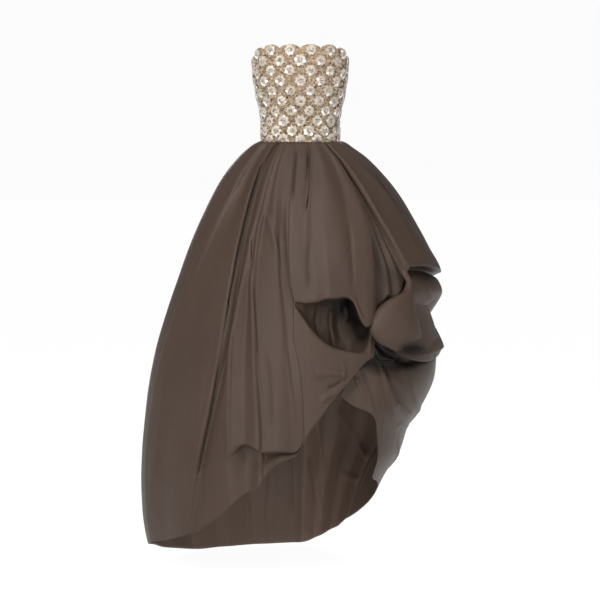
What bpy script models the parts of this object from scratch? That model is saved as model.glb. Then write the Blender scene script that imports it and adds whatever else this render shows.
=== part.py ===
"""High-low gown: strapless beaded bodice on a pleated taffeta skirt caught up over the left hip.

Metres, +Z up, the front faces -Y and +X is the wearer's left. The origin is the centre of
the waist seam. Angles run round the body in degrees from the centre front towards +X.
Every cloth piece is a wall lofted through sections that are worked out from the tables of
folds below. A lift is how far the cloth stands out from the gown's plain outer form, in mm.
"""
from math import cos, pi, sin

import bmesh
import bpy
import numpy as np
from mathutils import Matrix, Vector
from mathutils.bvhtree import BVHTree

MM = 0.001
CLOTH = 2.0 * MM
BODICE_WALL = 2.4 * MM
SEAM_GAP = 0.3 * MM

WAIST_TOP = -0.7 * MM
SLOPE_STEP = 3.0 * MM
BODICE_BOTTOM = 0.3 * MM

# Plain outer form of the skirt at each height: how far it reaches to each side, in metres.
SKIRT_COLUMNS = ("height", "right_side", "left_side", "front", "back")
SKIRT_SECTIONS = (
    (0.000, 0.116, 0.116, 0.090, 0.088),
    (-0.006, 0.134, 0.133, 0.106, 0.104),
    (-0.020, 0.154, 0.153, 0.125, 0.127),
    (-0.050, 0.186, 0.194, 0.160, 0.165),
    (-0.110, 0.233, 0.250, 0.210, 0.223),
    (-0.200, 0.281, 0.314, 0.266, 0.289),
    (-0.300, 0.325, 0.367, 0.314, 0.352),
    (-0.400, 0.361, 0.411, 0.348, 0.402),
    (-0.500, 0.396, 0.424, 0.370, 0.442),
    (-0.600, 0.426, 0.426, 0.386, 0.472),
    (-0.650, 0.438, 0.413, 0.392, 0.484),
    (-0.710, 0.450, 0.400, 0.397, 0.496),
    (-0.770, 0.459, 0.374, 0.400, 0.506),
    (-0.850, 0.468, 0.323, 0.403, 0.515),
    (-0.920, 0.474, 0.300, 0.404, 0.521),
    (-1.000, 0.477, 0.250, 0.402, 0.525),
    (-1.100, 0.473, 0.205, 0.396, 0.526),
    (-1.180, 0.462, 0.180, 0.388, 0.524),
    (-1.270, 0.436, 0.165, 0.376, 0.518),
)

# Outer form of the bodice under its flowers.
BODICE_COLUMNS = ("height", "side", "front", "back")
BODICE_SECTIONS = (
    (0.00, 0.1140, 0.0880, 0.0860),
    (0.06, 0.1140, 0.0900, 0.0870),
    (0.10, 0.1200, 0.0950, 0.0890),
    (0.14, 0.1290, 0.1040, 0.0920),
    (0.18, 0.1355, 0.1130, 0.0950),
    (0.22, 0.1400, 0.1150, 0.0980),
    (0.26, 0.1400, 0.1100, 0.1000),
    (0.30, 0.1390, 0.1030, 0.1010),
)
# Height of the top edge round the body, as a part of the full height.
NECKLINE_COLUMNS = ("angle", "top")
NECKLINE = ((0, 1.0), (44, 0.995), (64, 0.955), (80, 0.89), (100, 0.86), (180, 0.82))

# Lattice of beaded flowers: columns round the body, rows down it.
FLOWER_COLUMNS = 14
FLOWER_ROWS = 9
FLOWER_TOP_ROW = 0.282
FLOWER_RIM = 17.5 * MM
FLOWER_CREST = 12.0 * MM
FLOWER_RISE = 3.0 * MM
FLOWER_CENTRE_RISE = 1.2 * MM
CELL_WIDTH = 57.0 * MM
CELL_HEIGHT = 31.3 * MM
# Bodice panels, from one lattice column to another.
BODICE_PANELS = (
    ("bodice_front", -3.5, 3.5),
    ("bodice_back_left", 3.5, 7.0),
    ("bodice_back_right", -7.0, -3.5),
)

# Centre front seam of the skirt.
SEAM_COLUMNS = ("height", "angle")
FRONT_SEAM = (
    (0.000, -7.2), (-0.074, -6.4), (-0.180, -6.8), (-0.264, -6.4), (-0.406, -4.6),
    (-0.462, -2.8), (-0.540, -2.8), (-0.680, 0.3), (-0.866, 2.3),
)
FRONT_SEAM_STATIONS = (
    -0.010, -0.031, -0.064, -0.119, -0.187, -0.264, -0.349, -0.442, -0.600, -0.740, -0.866)
# Rows of the back panels, as parts of the way down to the hem.
BACK_ROWS = (0.006, 0.018, 0.045, 0.10, 0.19, 0.30, 0.42, 0.55, 0.69, 0.84, 1.0)
RIGHT_SIDE_SEAM = 262.0
RIGHT_BACK_SEAM = 229.0
CENTRE_BACK = 180.0
LEFT_BACK_SEAM = 125.0

# Folds of the front right panel, from the side seam to the centre front. Angles and lifts
# stand at five heights of the cloth; roll is how far the bubble lip turns under.
RIGHT_HEIGHTS = (0.0, -0.11, -0.30, -0.56, -0.87, -1.20)
RIGHT_COLUMNS = (
    "name", "steps", "a_waist", "a_high", "a_hip", "a_thigh", "a_knee", "a_hem",
    "l_waist", "l_high", "l_hip", "l_thigh", "l_knee", "l_hem", "lip", "hem", "roll")
RIGHT_FOLDS = (
    ("side_seam", 3, -98, -98, -98, -98, -98, -98, 0, 0, 0, 0, 0, 0, -0.980, -1.218, 0.0),
    ("side_pleat", 3, -76, -74, -78, -84, -87, -88, 2, 2, 3, 2, 0, 2, -0.970, -1.206, 0.0),
    ("side_dip", 1, -56, -54, -65, -72, -77, -79, -6, -6, -6, -5, -6, -5, -0.960, -1.196, 0.0),
    ("far_fold", 2, -52, -50, -60, -67, -72, -74, 6, 9, 9, 8, 8, 7, -0.955, -1.191, 0.0),
    ("far_dip", 3, -44, -42, -47, -52, -57, -60, -2, -3, -4, -4, -4, -5, -0.945, -1.176, 0.0),
    ("deep_edge", 1, -33.6, -33.4, -33.2, -32.4, -38.2, -46.5, 6, 12, 14, 12, 10, 6,
     -0.925, -1.152, 0.0),
    ("deep_dip", 2, -31.4, -31.2, -30.9, -29.9, -35.4, -44, -5, -8, -10, -8, -6, -3,
     -0.920, -1.146, 0.0),
    ("mid_ridge", 2, -25, -26, -27.0, -28.0, -26.8, -24.8, 0, 0, 3, 10, 12, 9,
     -0.880, -1.063, 0.05),
    ("mid_dip", 1, -24, -24, -25.0, -23.0, -20.0, -17.6, 0, -1, -2, -6, -7, -2,
     -0.868, -1.017, 0.8),
    ("third_ridge", 1, -22, -23, -23.2, -19.2, -14.6, -14.0, 0, 1, 4, 8, 8, 2,
     -0.886, -0.997, 1.0),
    ("third_dip", 2, -20, -20, -21.0, -17.6, -12.9, -12.0, -1, -1, -2, -3, -4, 0,
     -0.893, -0.965, 1.0),
    ("arch_ridge", 2, -17, -17, -13.0, -8.0, -7.0, -7.0, 0, 2, 8, 6, 5, 2,
     -0.888, -0.925, 0.8),
    ("seam_dip", 1, -12, -11.4, -10.4, -5.0, -2.2, -1.2, -2, -3, -3, -3, -2, 0,
     -0.892, -0.908, 0.35),
    ("front_seam", 0, -7.2, -6.4, -6.0, -2.6, 2.3, 2.3, 0, 0, 0, 0, 0, 0,
     -0.850, -0.866, 0.0),
)

# Folds of the front left panel, from the centre front to its outer edge. It hangs in a
# drape with a lip, is caught back into a hollow and comes out again over a cowl rim.
LEFT_COLUMNS = (
    "name", "steps", "a_waist", "a_high", "a_hip", "a_low", "a_lip", "a_rim", "a_hem",
    "l_waist", "l_high", "l_hip", "l_low", "lip", "rim", "hem", "hollow")
LEFT_HEIGHTS = (0.0, -0.11, -0.21, -0.38)
LEFT_FOLDS = (
    ("front_seam", 2, -7.2, -6.5, -6.7, -5.0, -3.1, -2.8, 2.3, 0, 0, 0, 0,
     -0.452, -0.474, -0.866, 0.0),
    ("pleat_floor", 1, 9.4, 4.0, 1.2, 1.0, 1.0, 1.4, 4.8, -4, -4, 0, -2,
     -0.455, -0.512, -0.840, 0.35),
    ("pleat_edge", 1, 11.4, 6.0, 3.2, 3.0, 3.0, 3.6, 6.4, 2, 3, 2, -5,
     -0.456, -0.534, -0.824, 0.60),
    ("soft_dip", 2, 14.4, 9.0, 5.6, 5.2, 6.0, 6.4, 8.3, 2, 1, 0, -6,
     -0.456, -0.558, -0.808, 0.80),
    ("broad_ridge", 2, 20.0, 15.5, 13.0, 12.0, 11.4, 10.4, 11.4, 4, 8, 9, 8,
     -0.452, -0.584, -0.775, 1.0),
    ("lip_rise", 1, 25.0, 23.0, 21.0, 18.0, 17.0, 14.4, 15.5, 2, 3, 4, 5,
     -0.449, -0.598, -0.733, 1.0),
    ("lobe_start", 1, 27.0, 26.3, 24.5, 21.0, 20.8, 17.0, 18.0, 2, 2, 3, 4,
     -0.456, -0.603, -0.712, 1.0),
    ("lobe_side", 1, 28.3, 28.8, 27.4, 23.4, 22.9, 19.6, 20.3, 2, 4, 6, 8,
     -0.498, -0.607, -0.694, 0.95),
    ("lobe_bottom", 1, 29.6, 31.2, 30.6, 27.0, 25.4, 22.4, 23.0, 3, 7, 10, 12,
     -0.533, -0.611, -0.670, 0.85),
    ("lobe_end", 1, 30.8, 33.4, 33.4, 30.6, 28.4, 25.8, 26.0, 3, 8, 12, 13,
     -0.505, -0.614, -0.645, 0.45),
    ("outer_edge", 1, 31.8, 35.0, 35.6, 33.2, 30.6, 28.6, 28.6, 2, 6, 10, 11,
     -0.470, -0.617, -0.630, 0.0),
    ("turned_edge", 0, 32.8, 35.8, 36.4, 34.2, 32.4, 31.6, 31.0, -9.6, -9.6, -9.6, -9.6,
     -0.466, -0.614, -0.626, 0.0),
)

# Folds of the side drape, from under the front panel round to the left back seam. The cloth
# is caught up in two bubbles, above and below mid, and then hangs to the rising hem.
SIDE_COLUMNS = (
    "name", "steps", "a_waist", "a_high", "a_hip", "a_lip", "a_rim", "a_fall", "a_hem",
    "l_waist", "l_high", "l_hip", "l_lip", "l_rim", "lip", "mid", "rim", "hem", "bubble")
SIDE_HEIGHTS = (0.0, -0.12, -0.30)
SIDE_FOLDS = (
    ("hidden_edge", 1, 25.0, 29.0, 30.0, 31.2, 30.4, 21.0, 18.0, -16, -12, -12, -12, -12,
     -0.440, -0.520, -0.600, -0.735, 0.0),
    ("pleat_start", 1, 30.0, 36.6, 37.0, 35.6, 33.5, 27.0, 26.0, -16, -12, -12, -12, -12,
     -0.456, -0.530, -0.620, -0.767, 0.1),
    ("pleat_one", 1, 32.0, 37.6, 39.4, 38.2, 37.0, 32.5, 34.0, -16, -10, -7, -6, -10,
     -0.442, -0.530, -0.630, -0.787, 0.4),
    ("pleat_one_dip", 1, 33.0, 38.3, 41.2, 41.0, 40.0, 37.0, 40.0, -16, -12, -13, -12, -11,
     -0.451, -0.530, -0.634, -0.815, 0.5),
    ("pleat_two", 1, 34.0, 39.1, 43.2, 44.2, 43.4, 41.0, 45.0, -16, -9, -6, -5, -10,
     -0.438, -0.530, -0.636, -0.860, 0.6),
    ("pleat_two_dip", 1, 35.0, 40.0, 45.0, 48.2, 47.4, 45.5, 50.0, -16, -13, -13, -12, -8,
     -0.404, -0.525, -0.634, -0.930, 0.7),
    ("side_edge", 1, 37.6, 41.8, 47.2, 51.4, 51.0, 50.0, 56.0, 2, 7, 8, 6, 0,
     -0.370, -0.520, -0.631, -0.988, 0.9),
    ("side_face", 2, 44.0, 48.0, 55.0, 60.0, 60.0, 61.0, 67.0, 1, 3, 3, 3, 1,
     -0.369, -0.520, -0.625, -1.005, 1.0),
    ("side_ridge", 2, 56.0, 62.0, 70.0, 76.0, 76.0, 78.0, 82.0, 4, 7, 7, 5, 2,
     -0.380, -0.520, -0.618, -1.035, 1.0),
    ("side_dip", 2, 70.0, 76.0, 84.0, 90.0, 90.0, 92.0, 96.0, 0, 0, 0, 1, 0,
     -0.392, -0.520, -0.612, -1.080, 1.0),
    ("back_ridge", 2, 94.0, 98.0, 102.0, 106.0, 106.0, 107.0, 109.0, 4, 6, 7, 6, 3,
     -0.405, -0.525, -0.618, -1.118, 0.65),
    ("left_back_seam", 0, 125.0, 125.0, 125.0, 125.0, 125.0, 125.0, 125.0, 0, 0, 0, 0, 0,
     -0.420, -0.540, -0.640, -1.160, 0.0),
)

# Hem of the back, and the pleats of each back panel.
BACK_HEM_COLUMNS = ("angle", "height")
BACK_HEM = ((125, -1.160), (150, -1.220), (180, -1.263), (221, -1.267), (243, -1.248), (262, -1.218))
BACK_COLUMNS = ("name", "start", "end", "pleats", "steps", "first_way")
BACK_PANELS = (
    ("skirt_back_left", LEFT_BACK_SEAM, CENTRE_BACK, 3, 4, -1.0),
    ("skirt_back_right", CENTRE_BACK, RIGHT_BACK_SEAM, 3, 4, 1.0),
    ("skirt_side_right", RIGHT_BACK_SEAM, RIGHT_SIDE_SEAM, 2, 4, 1.0),
)
PLEAT_COLUMNS = ("height", "lift")
PLEAT_LIFT = ((0.0, 4.0), (-0.06, 8.0), (-0.30, 9.0), (-0.80, 6.0), (-1.27, 6.0))

# Rows of every skirt panel above its lip, as parts of the way down to it, and how far each
# panel swells out there over the lip, in mm.
UPPER_COLUMNS = ("part", "right_lift", "left_lift", "side_lift")
UPPER_ROWS = (
    (0.000, 0, 0, 0),
    (0.012, 0, 0, 0),
    (0.036, 0, 0, 0),
    (0.075, 0, 0, 0),
    (0.140, 0, 0, 0),
    (0.220, 0, 0, 0),
    (0.310, 0, 0, 0),
    (0.410, 0, 0, 0),
    (0.520, 0, 0, 0),
    (0.630, 0, 3, 3),
    (0.750, 4, 8, 8),
    (0.870, 11, 15, 11),
    (0.960, 17, 20, 13),
)

# Rows below the lip of the front right panel. plain is the part of the way to the hem where
# the cloth hangs flat. Where it turns under, it lies at the part turned plus a step in metres.
RIGHT_LIP_COLUMNS = ("plain", "turned", "step", "lift")
RIGHT_LIP_ROWS = (
    (0.06, 0.00, 0.000, 20),
    (0.16, 0.00, -0.003, 12),
    (0.28, 0.00, 0.004, -9),
    (0.44, 0.25, 0.000, -15),
    (0.70, 0.62, 0.000, -8),
    (1.00, 1.00, 0.000, -2),
)

# Rows of the front left panel from the lip into the hollow and out to the cowl rim, in the
# same way. ease is how far the folds have moved to their places at the rim, and keep is how
# much of their depth is left.
LEFT_LIP_COLUMNS = ("plain", "turned", "step", "ease", "keep", "lift")
LEFT_LIP_ROWS = (
    (0.05, 0.00, 0.000, 0.00, 1.0, 22),
    (0.20, 0.00, -0.004, 0.04, 0.8, 12),
    (0.36, 0.00, 0.016, 0.14, 0.3, -30),
    (0.52, 0.55, 0.000, 0.50, 0.0, -58),
    (0.68, 1.00, -0.014, 0.85, 0.0, -44),
    (0.84, 1.00, -0.003, 0.96, 0.0, -14),
    (1.00, 1.00, 0.000, 1.00, 0.2, 5),
)
# Rows from the cowl rim to the hem: turned starts a little below the rim, plain at it.
LEFT_FALL_COLUMNS = ("plain", "turned", "lift")
LEFT_FALL_ROWS = (
    (0.25, 0.00, 12),
    (0.50, 0.34, 9),
    (0.75, 0.68, 6),
    (1.00, 1.00, 4),
)
LEFT_FALL_START = 0.012
SHORT_FALL = 0.03
LEFT_LIP_HEIGHT = -0.60

# Rows of the side drape through its two bubbles. mid and rim are shares of those heights, the
# rest being the lip's, plus a step in metres, for cloth that hangs flat and for turned cloth.
SIDE_LIP_COLUMNS = (
    "plain_mid", "plain_rim", "plain_step", "mid", "rim", "step", "ease", "keep", "lift")
SIDE_LIP_ROWS = (
    (0.00, 0.00, 0.000, 0.00, 0.0, 0.000, 0.0, 1.0, 12),
    (0.20, 0.00, 0.000, 0.00, 0.0, 0.002, 0.0, 0.8, -20),
    (0.40, 0.00, 0.000, 0.00, 0.0, -0.020, 0.0, 0.7, -26),
    (0.60, 0.00, 0.000, 0.00, 0.0, -0.038, 0.1, 0.6, 6),
    (0.80, 0.00, 0.000, 0.58, 0.0, 0.000, 0.3, 0.4, 0),
    (1.00, 0.00, 0.000, 1.00, 0.0, 0.000, 0.5, 0.2, -44),
    (0.65, 0.35, 0.000, 0.60, 0.4, 0.000, 0.7, 0.0, -24),
    (0.30, 0.70, 0.000, 0.00, 1.0, 0.014, 0.9, 0.0, -4),
    (0.00, 1.00, 0.000, 0.00, 1.0, 0.000, 1.0, 0.0, 6),
    (0.00, 1.00, -0.012, 0.00, 1.0, 0.006, 1.0, 0.0, -26),
    (0.00, 1.00, -0.024, 0.00, 1.0, -0.016, 1.0, 0.0, -22),
    (0.00, 1.00, -0.036, 0.00, 1.0, -0.032, 1.0, 0.0, -8),
)
# Rows below it, as parts of the way to the hem, and how far the folds have moved to their
# places in the fall and at the hem.
SIDE_FALL_COLUMNS = ("part", "to_fall", "to_hem")
SIDE_FALL_ROWS = (
    (0.16, 0.35, 0.00),
    (0.34, 0.80, 0.00),
    (0.52, 1.00, 0.00),
    (0.70, 1.00, 0.35),
    (0.86, 1.00, 0.70),
    (1.00, 1.00, 1.00),
)
SIDE_LIP_HEIGHT = -0.42
UNDER_COWL_ANGLE = 34.0
UNDER_COWL_SPREAD = 12.0
UNDER_COWL_DEPTH = 26.0

# Rolled puff laid over the pleats of the side drape: one row for each section down it.
PUFF_COLUMNS = ("a_left", "z_left", "a_right", "z_right", "bulge", "drop")
PUFF_SECTIONS = (
    (46.5, -0.432, 51.5, -0.424, 5, 0),
    (40.0, -0.462, 53.0, -0.452, 9, 0),
    (35.6, -0.500, 54.5, -0.492, 13, 0),
    (33.6, -0.548, 56.0, -0.534, 16, 0),
    (33.4, -0.585, 57.6, -0.572, 18, 0),
    (38.6, -0.622, 59.0, -0.600, 17, 2),
    (45.6, -0.646, 60.2, -0.616, 14, 5),
)
PUFF_STEPS = 16
PUFF_SEAT = 12.0
PUFF_MIDDLE = 46.0

# Centre back zip.
TAPE_WIDTH = 20.0 * MM
TAPE_THICKNESS = 1.2 * MM
TAPE_TOP = 0.224
TAPE_TURN = -0.012
TAPE_HEIGHTS = (TAPE_TOP, 0.18, 0.13, 0.09, 0.05, 0.010, TAPE_TURN)
TAPE_BOTTOM = -0.160
TAPE_EASE = 1.3 * MM
TAPE_MITRE = 1.05
TAPE_STATIONS = (3, 5)
SLIDER_SIZE = (6.0 * MM, 3.0 * MM, 9.0 * MM)
SLIDER_TOP = 0.2305
SLIDER_FRONT = 0.0991
PULL_LENGTH = 20.0 * MM
PULL_WIDTH = 5.4 * MM
PULL_THICKNESS = 1.0 * MM
PULL_ROUND_STEPS = 8
LUG_THICKNESS = 1.2 * MM
LUG_REACH = 3.0 * MM
LUG_HEIGHT = 3.0 * MM
LUG_SINK = 0.2 * MM
HINGE_CLEARANCE = 0.3 * MM
PULL_NECK = 3.0 * MM
PULL_EYE_TOP = 0.7 * MM
HINGE_HEIGHT = SLIDER_TOP - 3.0 * MM
HINGE_Y = SLIDER_FRONT + SLIDER_SIZE[1] + LUG_REACH / 2

# Colours of each material as linear values, with roughness and metallic.
MATERIALS = {
    "taffeta": ((0.085, 0.066, 0.054, 1.0), 0.42, 0.0),
    "beaded_tulle": ((0.60, 0.49, 0.36, 1.0), 0.38, 0.15),
    "zip_tape": ((0.10, 0.08, 0.065, 1.0), 0.75, 0.0),
    "zip_metal": ((0.32, 0.25, 0.17, 1.0), 0.30, 1.0),
}


def clear_scene():
    """Remove every object, so that the file holds only this gown."""
    for item in list(bpy.data.objects):
        bpy.data.objects.remove(item, do_unlink=True)


def make_collection(name):
    """Make the collection that holds the gown's pieces."""
    collection = bpy.data.collections.new(name)
    bpy.context.scene.collection.children.link(collection)
    return collection


def make_material(name, finish):
    """Make the Principled material of one piece from its row of MATERIALS."""
    colour, roughness, metallic = MATERIALS[finish]
    material = bpy.data.materials.new(name)
    material.use_nodes = True
    shader = material.node_tree.nodes["Principled BSDF"]
    shader.inputs["Base Color"].default_value = colour
    shader.inputs["Roughness"].default_value = roughness
    shader.inputs["Metallic"].default_value = metallic
    return material


def table(columns, rows):
    """Turn a table with named columns into one array for each column."""
    return {name: np.array([row[i] for row in rows]) for i, name in enumerate(columns)}


def curve(x, xs, ys):
    """Read a smooth curve through (xs, ys) at x, without overshoot between its points."""
    xs = np.asarray(xs, float)
    ys = np.asarray(ys, float)
    if xs[0] > xs[-1]:
        xs = xs[::-1]
        ys = ys[::-1]
    x = np.clip(np.asarray(x, float), xs[0], xs[-1])
    step = np.diff(xs)
    slope = (np.diff(ys, axis=0).T / step).T
    tangent = np.zeros_like(ys)
    tangent[0] = slope[0]
    tangent[-1] = slope[-1]
    before, after = slope[:-1], slope[1:]
    same = before * after > 0
    total = np.where(same, before + after, 1.0)
    tangent[1:-1] = np.where(same, 2.0 * before * after / total, 0.0)
    i = np.clip(np.searchsorted(xs, x, side="right") - 1, 0, len(xs) - 2)
    t = (x - xs[i]) / step[i]
    h = step[i]
    if ys.ndim > 1:
        t = t[..., None]
        h = h[..., None]
    return (ys[i] * (2 * t**3 - 3 * t**2 + 1) + ys[i + 1] * (3 * t**2 - 2 * t**3)
            + tangent[i] * h * (t**3 - 2 * t**2 + t) + tangent[i + 1] * h * (t**3 - t**2))


SKIRT = table(SKIRT_COLUMNS, SKIRT_SECTIONS)
BODICE = table(BODICE_COLUMNS, BODICE_SECTIONS)


def section(angle, across_minus, across_plus, front, back):
    """Give the point and outward normal on a section made of four quarter ellipses."""
    turn = np.radians(angle)
    across = np.where(np.sin(turn) > 0, across_plus, across_minus)
    along = np.where(np.cos(turn) > 0, front, back)
    x = across * np.sin(turn)
    y = -along * np.cos(turn)
    normal = np.stack([np.sin(turn) / across, -np.cos(turn) / along], -1)
    normal /= np.linalg.norm(normal, axis=-1, keepdims=True)
    return x, y, normal


def reach_at(height):
    """Give how far the skirt's outer form reaches to each side at a height."""
    return [curve(height, SKIRT["height"], SKIRT[name]) for name in SKIRT_COLUMNS[1:]]


def skirt_normal(angle, height):
    """Give the level outward normal of the skirt's outer form."""
    normal = section(angle, *reach_at(height))[2]
    return np.concatenate([normal, np.zeros(normal.shape[:-1] + (1,))], -1)


def skirt_point(angle, height, lift=0.0):
    """Give the point at an angle and height on the skirt's outer form, lifted by lift mm.

    A lift is square to the form, but level along the waist seam, where the cloth starts.
    """
    x, y, _ = section(angle, *reach_at(height))
    spread = np.mean([low - high for low, high in zip(
        reach_at(height - SLOPE_STEP), reach_at(height + SLOPE_STEP))], axis=0)
    rise = np.where(height < WAIST_TOP - MM, spread / (2 * SLOPE_STEP), 0.0)
    way = skirt_normal(angle, height)
    way[..., 2] = np.maximum(rise, 0.0)
    flat = np.stack([x, y, np.broadcast_to(height, np.shape(x))], -1)
    return flat + unit(way) * np.asarray(lift)[..., None] * MM


def bodice_point(angle, height, out=0.0):
    """Give the point at an angle and height on the bodice's outer form, moved out by out."""
    side, front, back = (curve(height, BODICE["height"], BODICE[n]) for n in BODICE_COLUMNS[1:])
    x, y, normal = section(angle, side, side, front, back)
    return np.stack([x + out * normal[..., 0], y + out * normal[..., 1],
                     np.broadcast_to(height, np.shape(x))], -1)


def seam_angle(height):
    """Give the angle of the centre front seam at a height."""
    seam = table(SEAM_COLUMNS, FRONT_SEAM)
    return curve(height, seam["height"], seam["angle"])


def back_hem(angle):
    """Give the height of the back hem at an angle."""
    hem = table(BACK_HEM_COLUMNS, BACK_HEM)
    return curve(angle, hem["angle"], hem["height"])


def front_seam_line():
    """Give the points and level normals of the centre front seam at its stations."""
    heights = np.array((WAIST_TOP,) + FRONT_SEAM_STATIONS)
    angles = seam_angle(heights)
    return skirt_point(angles, heights), skirt_normal(angles, heights)


def back_seam_line(angle):
    """Give the points and level normals of a seam of the back panels at its stations."""
    heights = np.concatenate([[WAIST_TOP], np.array(BACK_ROWS) * back_hem(angle)])
    angles = np.full(len(heights), angle)
    return skirt_point(angles, heights), skirt_normal(angles, heights)


def lay_on_seam(points, column, line):
    """Lay a column of a grid on a seam, with a row at each of its stations.

    Both panels of a seam so meet along the same straight runs. Gives the normals there.
    """
    stations, normals = line
    heights = points[:, column, 2].copy()
    rows = len(heights)
    row = -1
    for index, station in enumerate(stations[:, 2]):
        last = rows - (len(stations) - index)
        free = np.arange(row + 1, last + 1)
        row = int(free[np.argmin(np.abs(heights[free] - station))])
        heights[row] = station
    heights = np.minimum.accumulate(heights)
    down = -heights
    at = -stations[:, 2]
    points[:, column] = np.stack([np.interp(down, at, stations[:, i]) for i in range(3)], -1)
    form = np.stack([np.interp(down, at, normals[:, i]) for i in range(3)], -1)
    return unit(form)


def unit(vectors):
    """Give vectors of length one."""
    return vectors / np.maximum(np.linalg.norm(vectors, axis=-1, keepdims=True), 1e-12)


def directions(points):
    """Give the direction of a line of points at each point, halfway between its two runs."""
    runs = unit(np.diff(points, axis=0))
    return unit(np.concatenate([runs[:1], runs[:-1] + runs[1:], runs[-1:]]))


def grid_normals(points):
    """Give the outward normals of a grid of points, rows running down and columns round."""
    down = directions(points)
    across = np.swapaxes(directions(np.swapaxes(points, 0, 1)), 0, 1)
    return unit(np.cross(down, across))


def columns_of(steps):
    """Give fold positions for the columns: each fold, and steps columns up to the next."""
    places = [0.0]
    for fold, count in enumerate(steps[:-1]):
        places.extend(fold + (k + 1) / count for k in range(int(count)))
    return np.array(places)


def columns_down(columns, rows):
    """Turn a table of rows of a panel into upright columns of values, to spread over a grid."""
    return {name: values[:, None] for name, values in table(columns, rows).items()}


def stacked(folds, prefix, names):
    """Put the columns of a fold table that stand at the named heights side by side."""
    return np.column_stack([folds[prefix + name] for name in names])


def shared(lip, mid, rim, mid_share, rim_share):
    """Mix three heights by shares, with the rest going to the lip."""
    return lip * (1 - mid_share - rim_share) + mid * mid_share + rim * rim_share


def at_folds(places, values):
    """Read values that stand at the folds at the columns between them."""
    return curve(places, np.arange(len(values)), values)


def add_object(name, mesh, finish, collection):
    """Link a mesh to the collection as a named object with its own material."""
    mesh.materials.append(make_material(name, finish))
    item = bpy.data.objects.new(name, mesh)
    collection.objects.link(item)
    return item


def loft_wall(name, outer, inner, finish, collection, closed=False):
    """Loft one solid wall through its sections.

    Row i of outer and inner is one section: its outer line and its inner line make a ring,
    or two rings one inside the other where the piece is a tube. Neighbouring sections are
    joined by faces, and the first and the last are closed.
    """
    rows, columns = outer.shape[:2]
    shell = bmesh.new()
    out = [[shell.verts.new(p) for p in line] for line in outer.tolist()]
    ins = [[shell.verts.new(p) for p in line] for line in inner.tolist()]
    last = columns if closed else columns - 1
    for j in range(last):
        k = (j + 1) % columns
        for i in range(rows - 1):
            shell.faces.new((out[i][j], out[i + 1][j], out[i + 1][k], out[i][k]))
            shell.faces.new((ins[i][k], ins[i + 1][k], ins[i + 1][j], ins[i][j]))
        shell.faces.new((out[0][k], ins[0][k], ins[0][j], out[0][j]))
        shell.faces.new((out[-1][j], ins[-1][j], ins[-1][k], out[-1][k]))
    if not closed:
        for i in range(rows - 1):
            shell.faces.new((out[i][0], ins[i][0], ins[i + 1][0], out[i + 1][0]))
            shell.faces.new((out[i + 1][-1], ins[i + 1][-1], ins[i][-1], out[i][-1]))
    bmesh.ops.triangulate(shell, faces=shell.faces[:], quad_method="SHORT_EDGE")
    bmesh.ops.recalc_face_normals(shell, faces=shell.faces[:])
    mesh = bpy.data.meshes.new(name)
    shell.to_mesh(mesh)
    shell.free()
    mesh.shade_smooth()
    return add_object(name, mesh, finish, collection)


def cloth_wall(name, points, seams, finish, collection):
    """Make a wall of cloth thickness on a grid of points.

    The wall is as thick as CLOTH about the grid. Along the waist, and along each column that
    seams lays on a seam line, it is cut square to the outer form, so that the next piece
    meets it flat, and half of the seam's gap is taken off.
    """
    forms = {column: lay_on_seam(points, column, line) for column, line in seams.items()}
    normal = grid_normals(points)
    up = np.array([0.0, 0.0, 1.0])
    level = normal[0] * np.array([1.0, 1.0, 0.0])
    normal[0] = unit(unit(level) + up)
    for column, form in forms.items():
        normal[:, column] = form
        inside = 1 if column == 0 else -2
        way = points[:, inside] - points[:, column]
        way -= np.sum(way * form, axis=-1, keepdims=True) * form
        way[:, 2] = 0.0
        points[:, column] += unit(way) * SEAM_GAP / 2
        normal[0, column] = unit(form[0] + up)
    half = CLOTH / 2
    return loft_wall(name, points + normal * half, points - normal * half, finish, collection)


def fold_field(places, heights, rows_at, values):
    """Read values given by fold and height at each grid point.

    values has a row for each fold and a column for each height; heights is a grid of the
    heights of the points, one column for each place.
    """
    field = np.empty_like(heights)
    for j, place in enumerate(places):
        by_fold = np.array([curve(heights[:, j], rows_at, line) for line in values])
        field[:, j] = curve(np.full(1, place), np.arange(len(values)), by_fold)[0]
    return field


def skirt_front_right(finish, collection):
    """Front right panel: deep pleats from the waist and a bubble lip near the seam."""
    folds = table(RIGHT_COLUMNS, RIGHT_FOLDS)
    over = table(UPPER_COLUMNS, UPPER_ROWS)
    under = columns_down(RIGHT_LIP_COLUMNS, RIGHT_LIP_ROWS)
    places = columns_of(folds["steps"])
    lip, hem, roll = (at_folds(places, folds[n]) for n in ("lip", "hem", "roll"))
    upper = over["part"][:, None] * lip
    plain = lip + (hem - lip) * under["plain"]
    turned = lip + (hem - lip) * under["turned"] + under["step"]
    heights = np.vstack([upper, plain * (1 - roll) + turned * roll])
    heights[0] = WAIST_TOP
    names = ("waist", "high", "hip", "thigh", "knee", "hem")
    angles = fold_field(places, heights, RIGHT_HEIGHTS, stacked(folds, "a_", names))
    lifts = fold_field(places, heights, RIGHT_HEIGHTS, stacked(folds, "l_", names))
    swell = np.concatenate([over["right_lift"][:, None], under["lift"]])
    points = skirt_point(angles, heights, lifts + swell * roll)
    seams = {0: back_seam_line(RIGHT_SIDE_SEAM), -1: front_seam_line()}
    return cloth_wall("skirt_front_right", points, seams, finish, collection)


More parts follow.
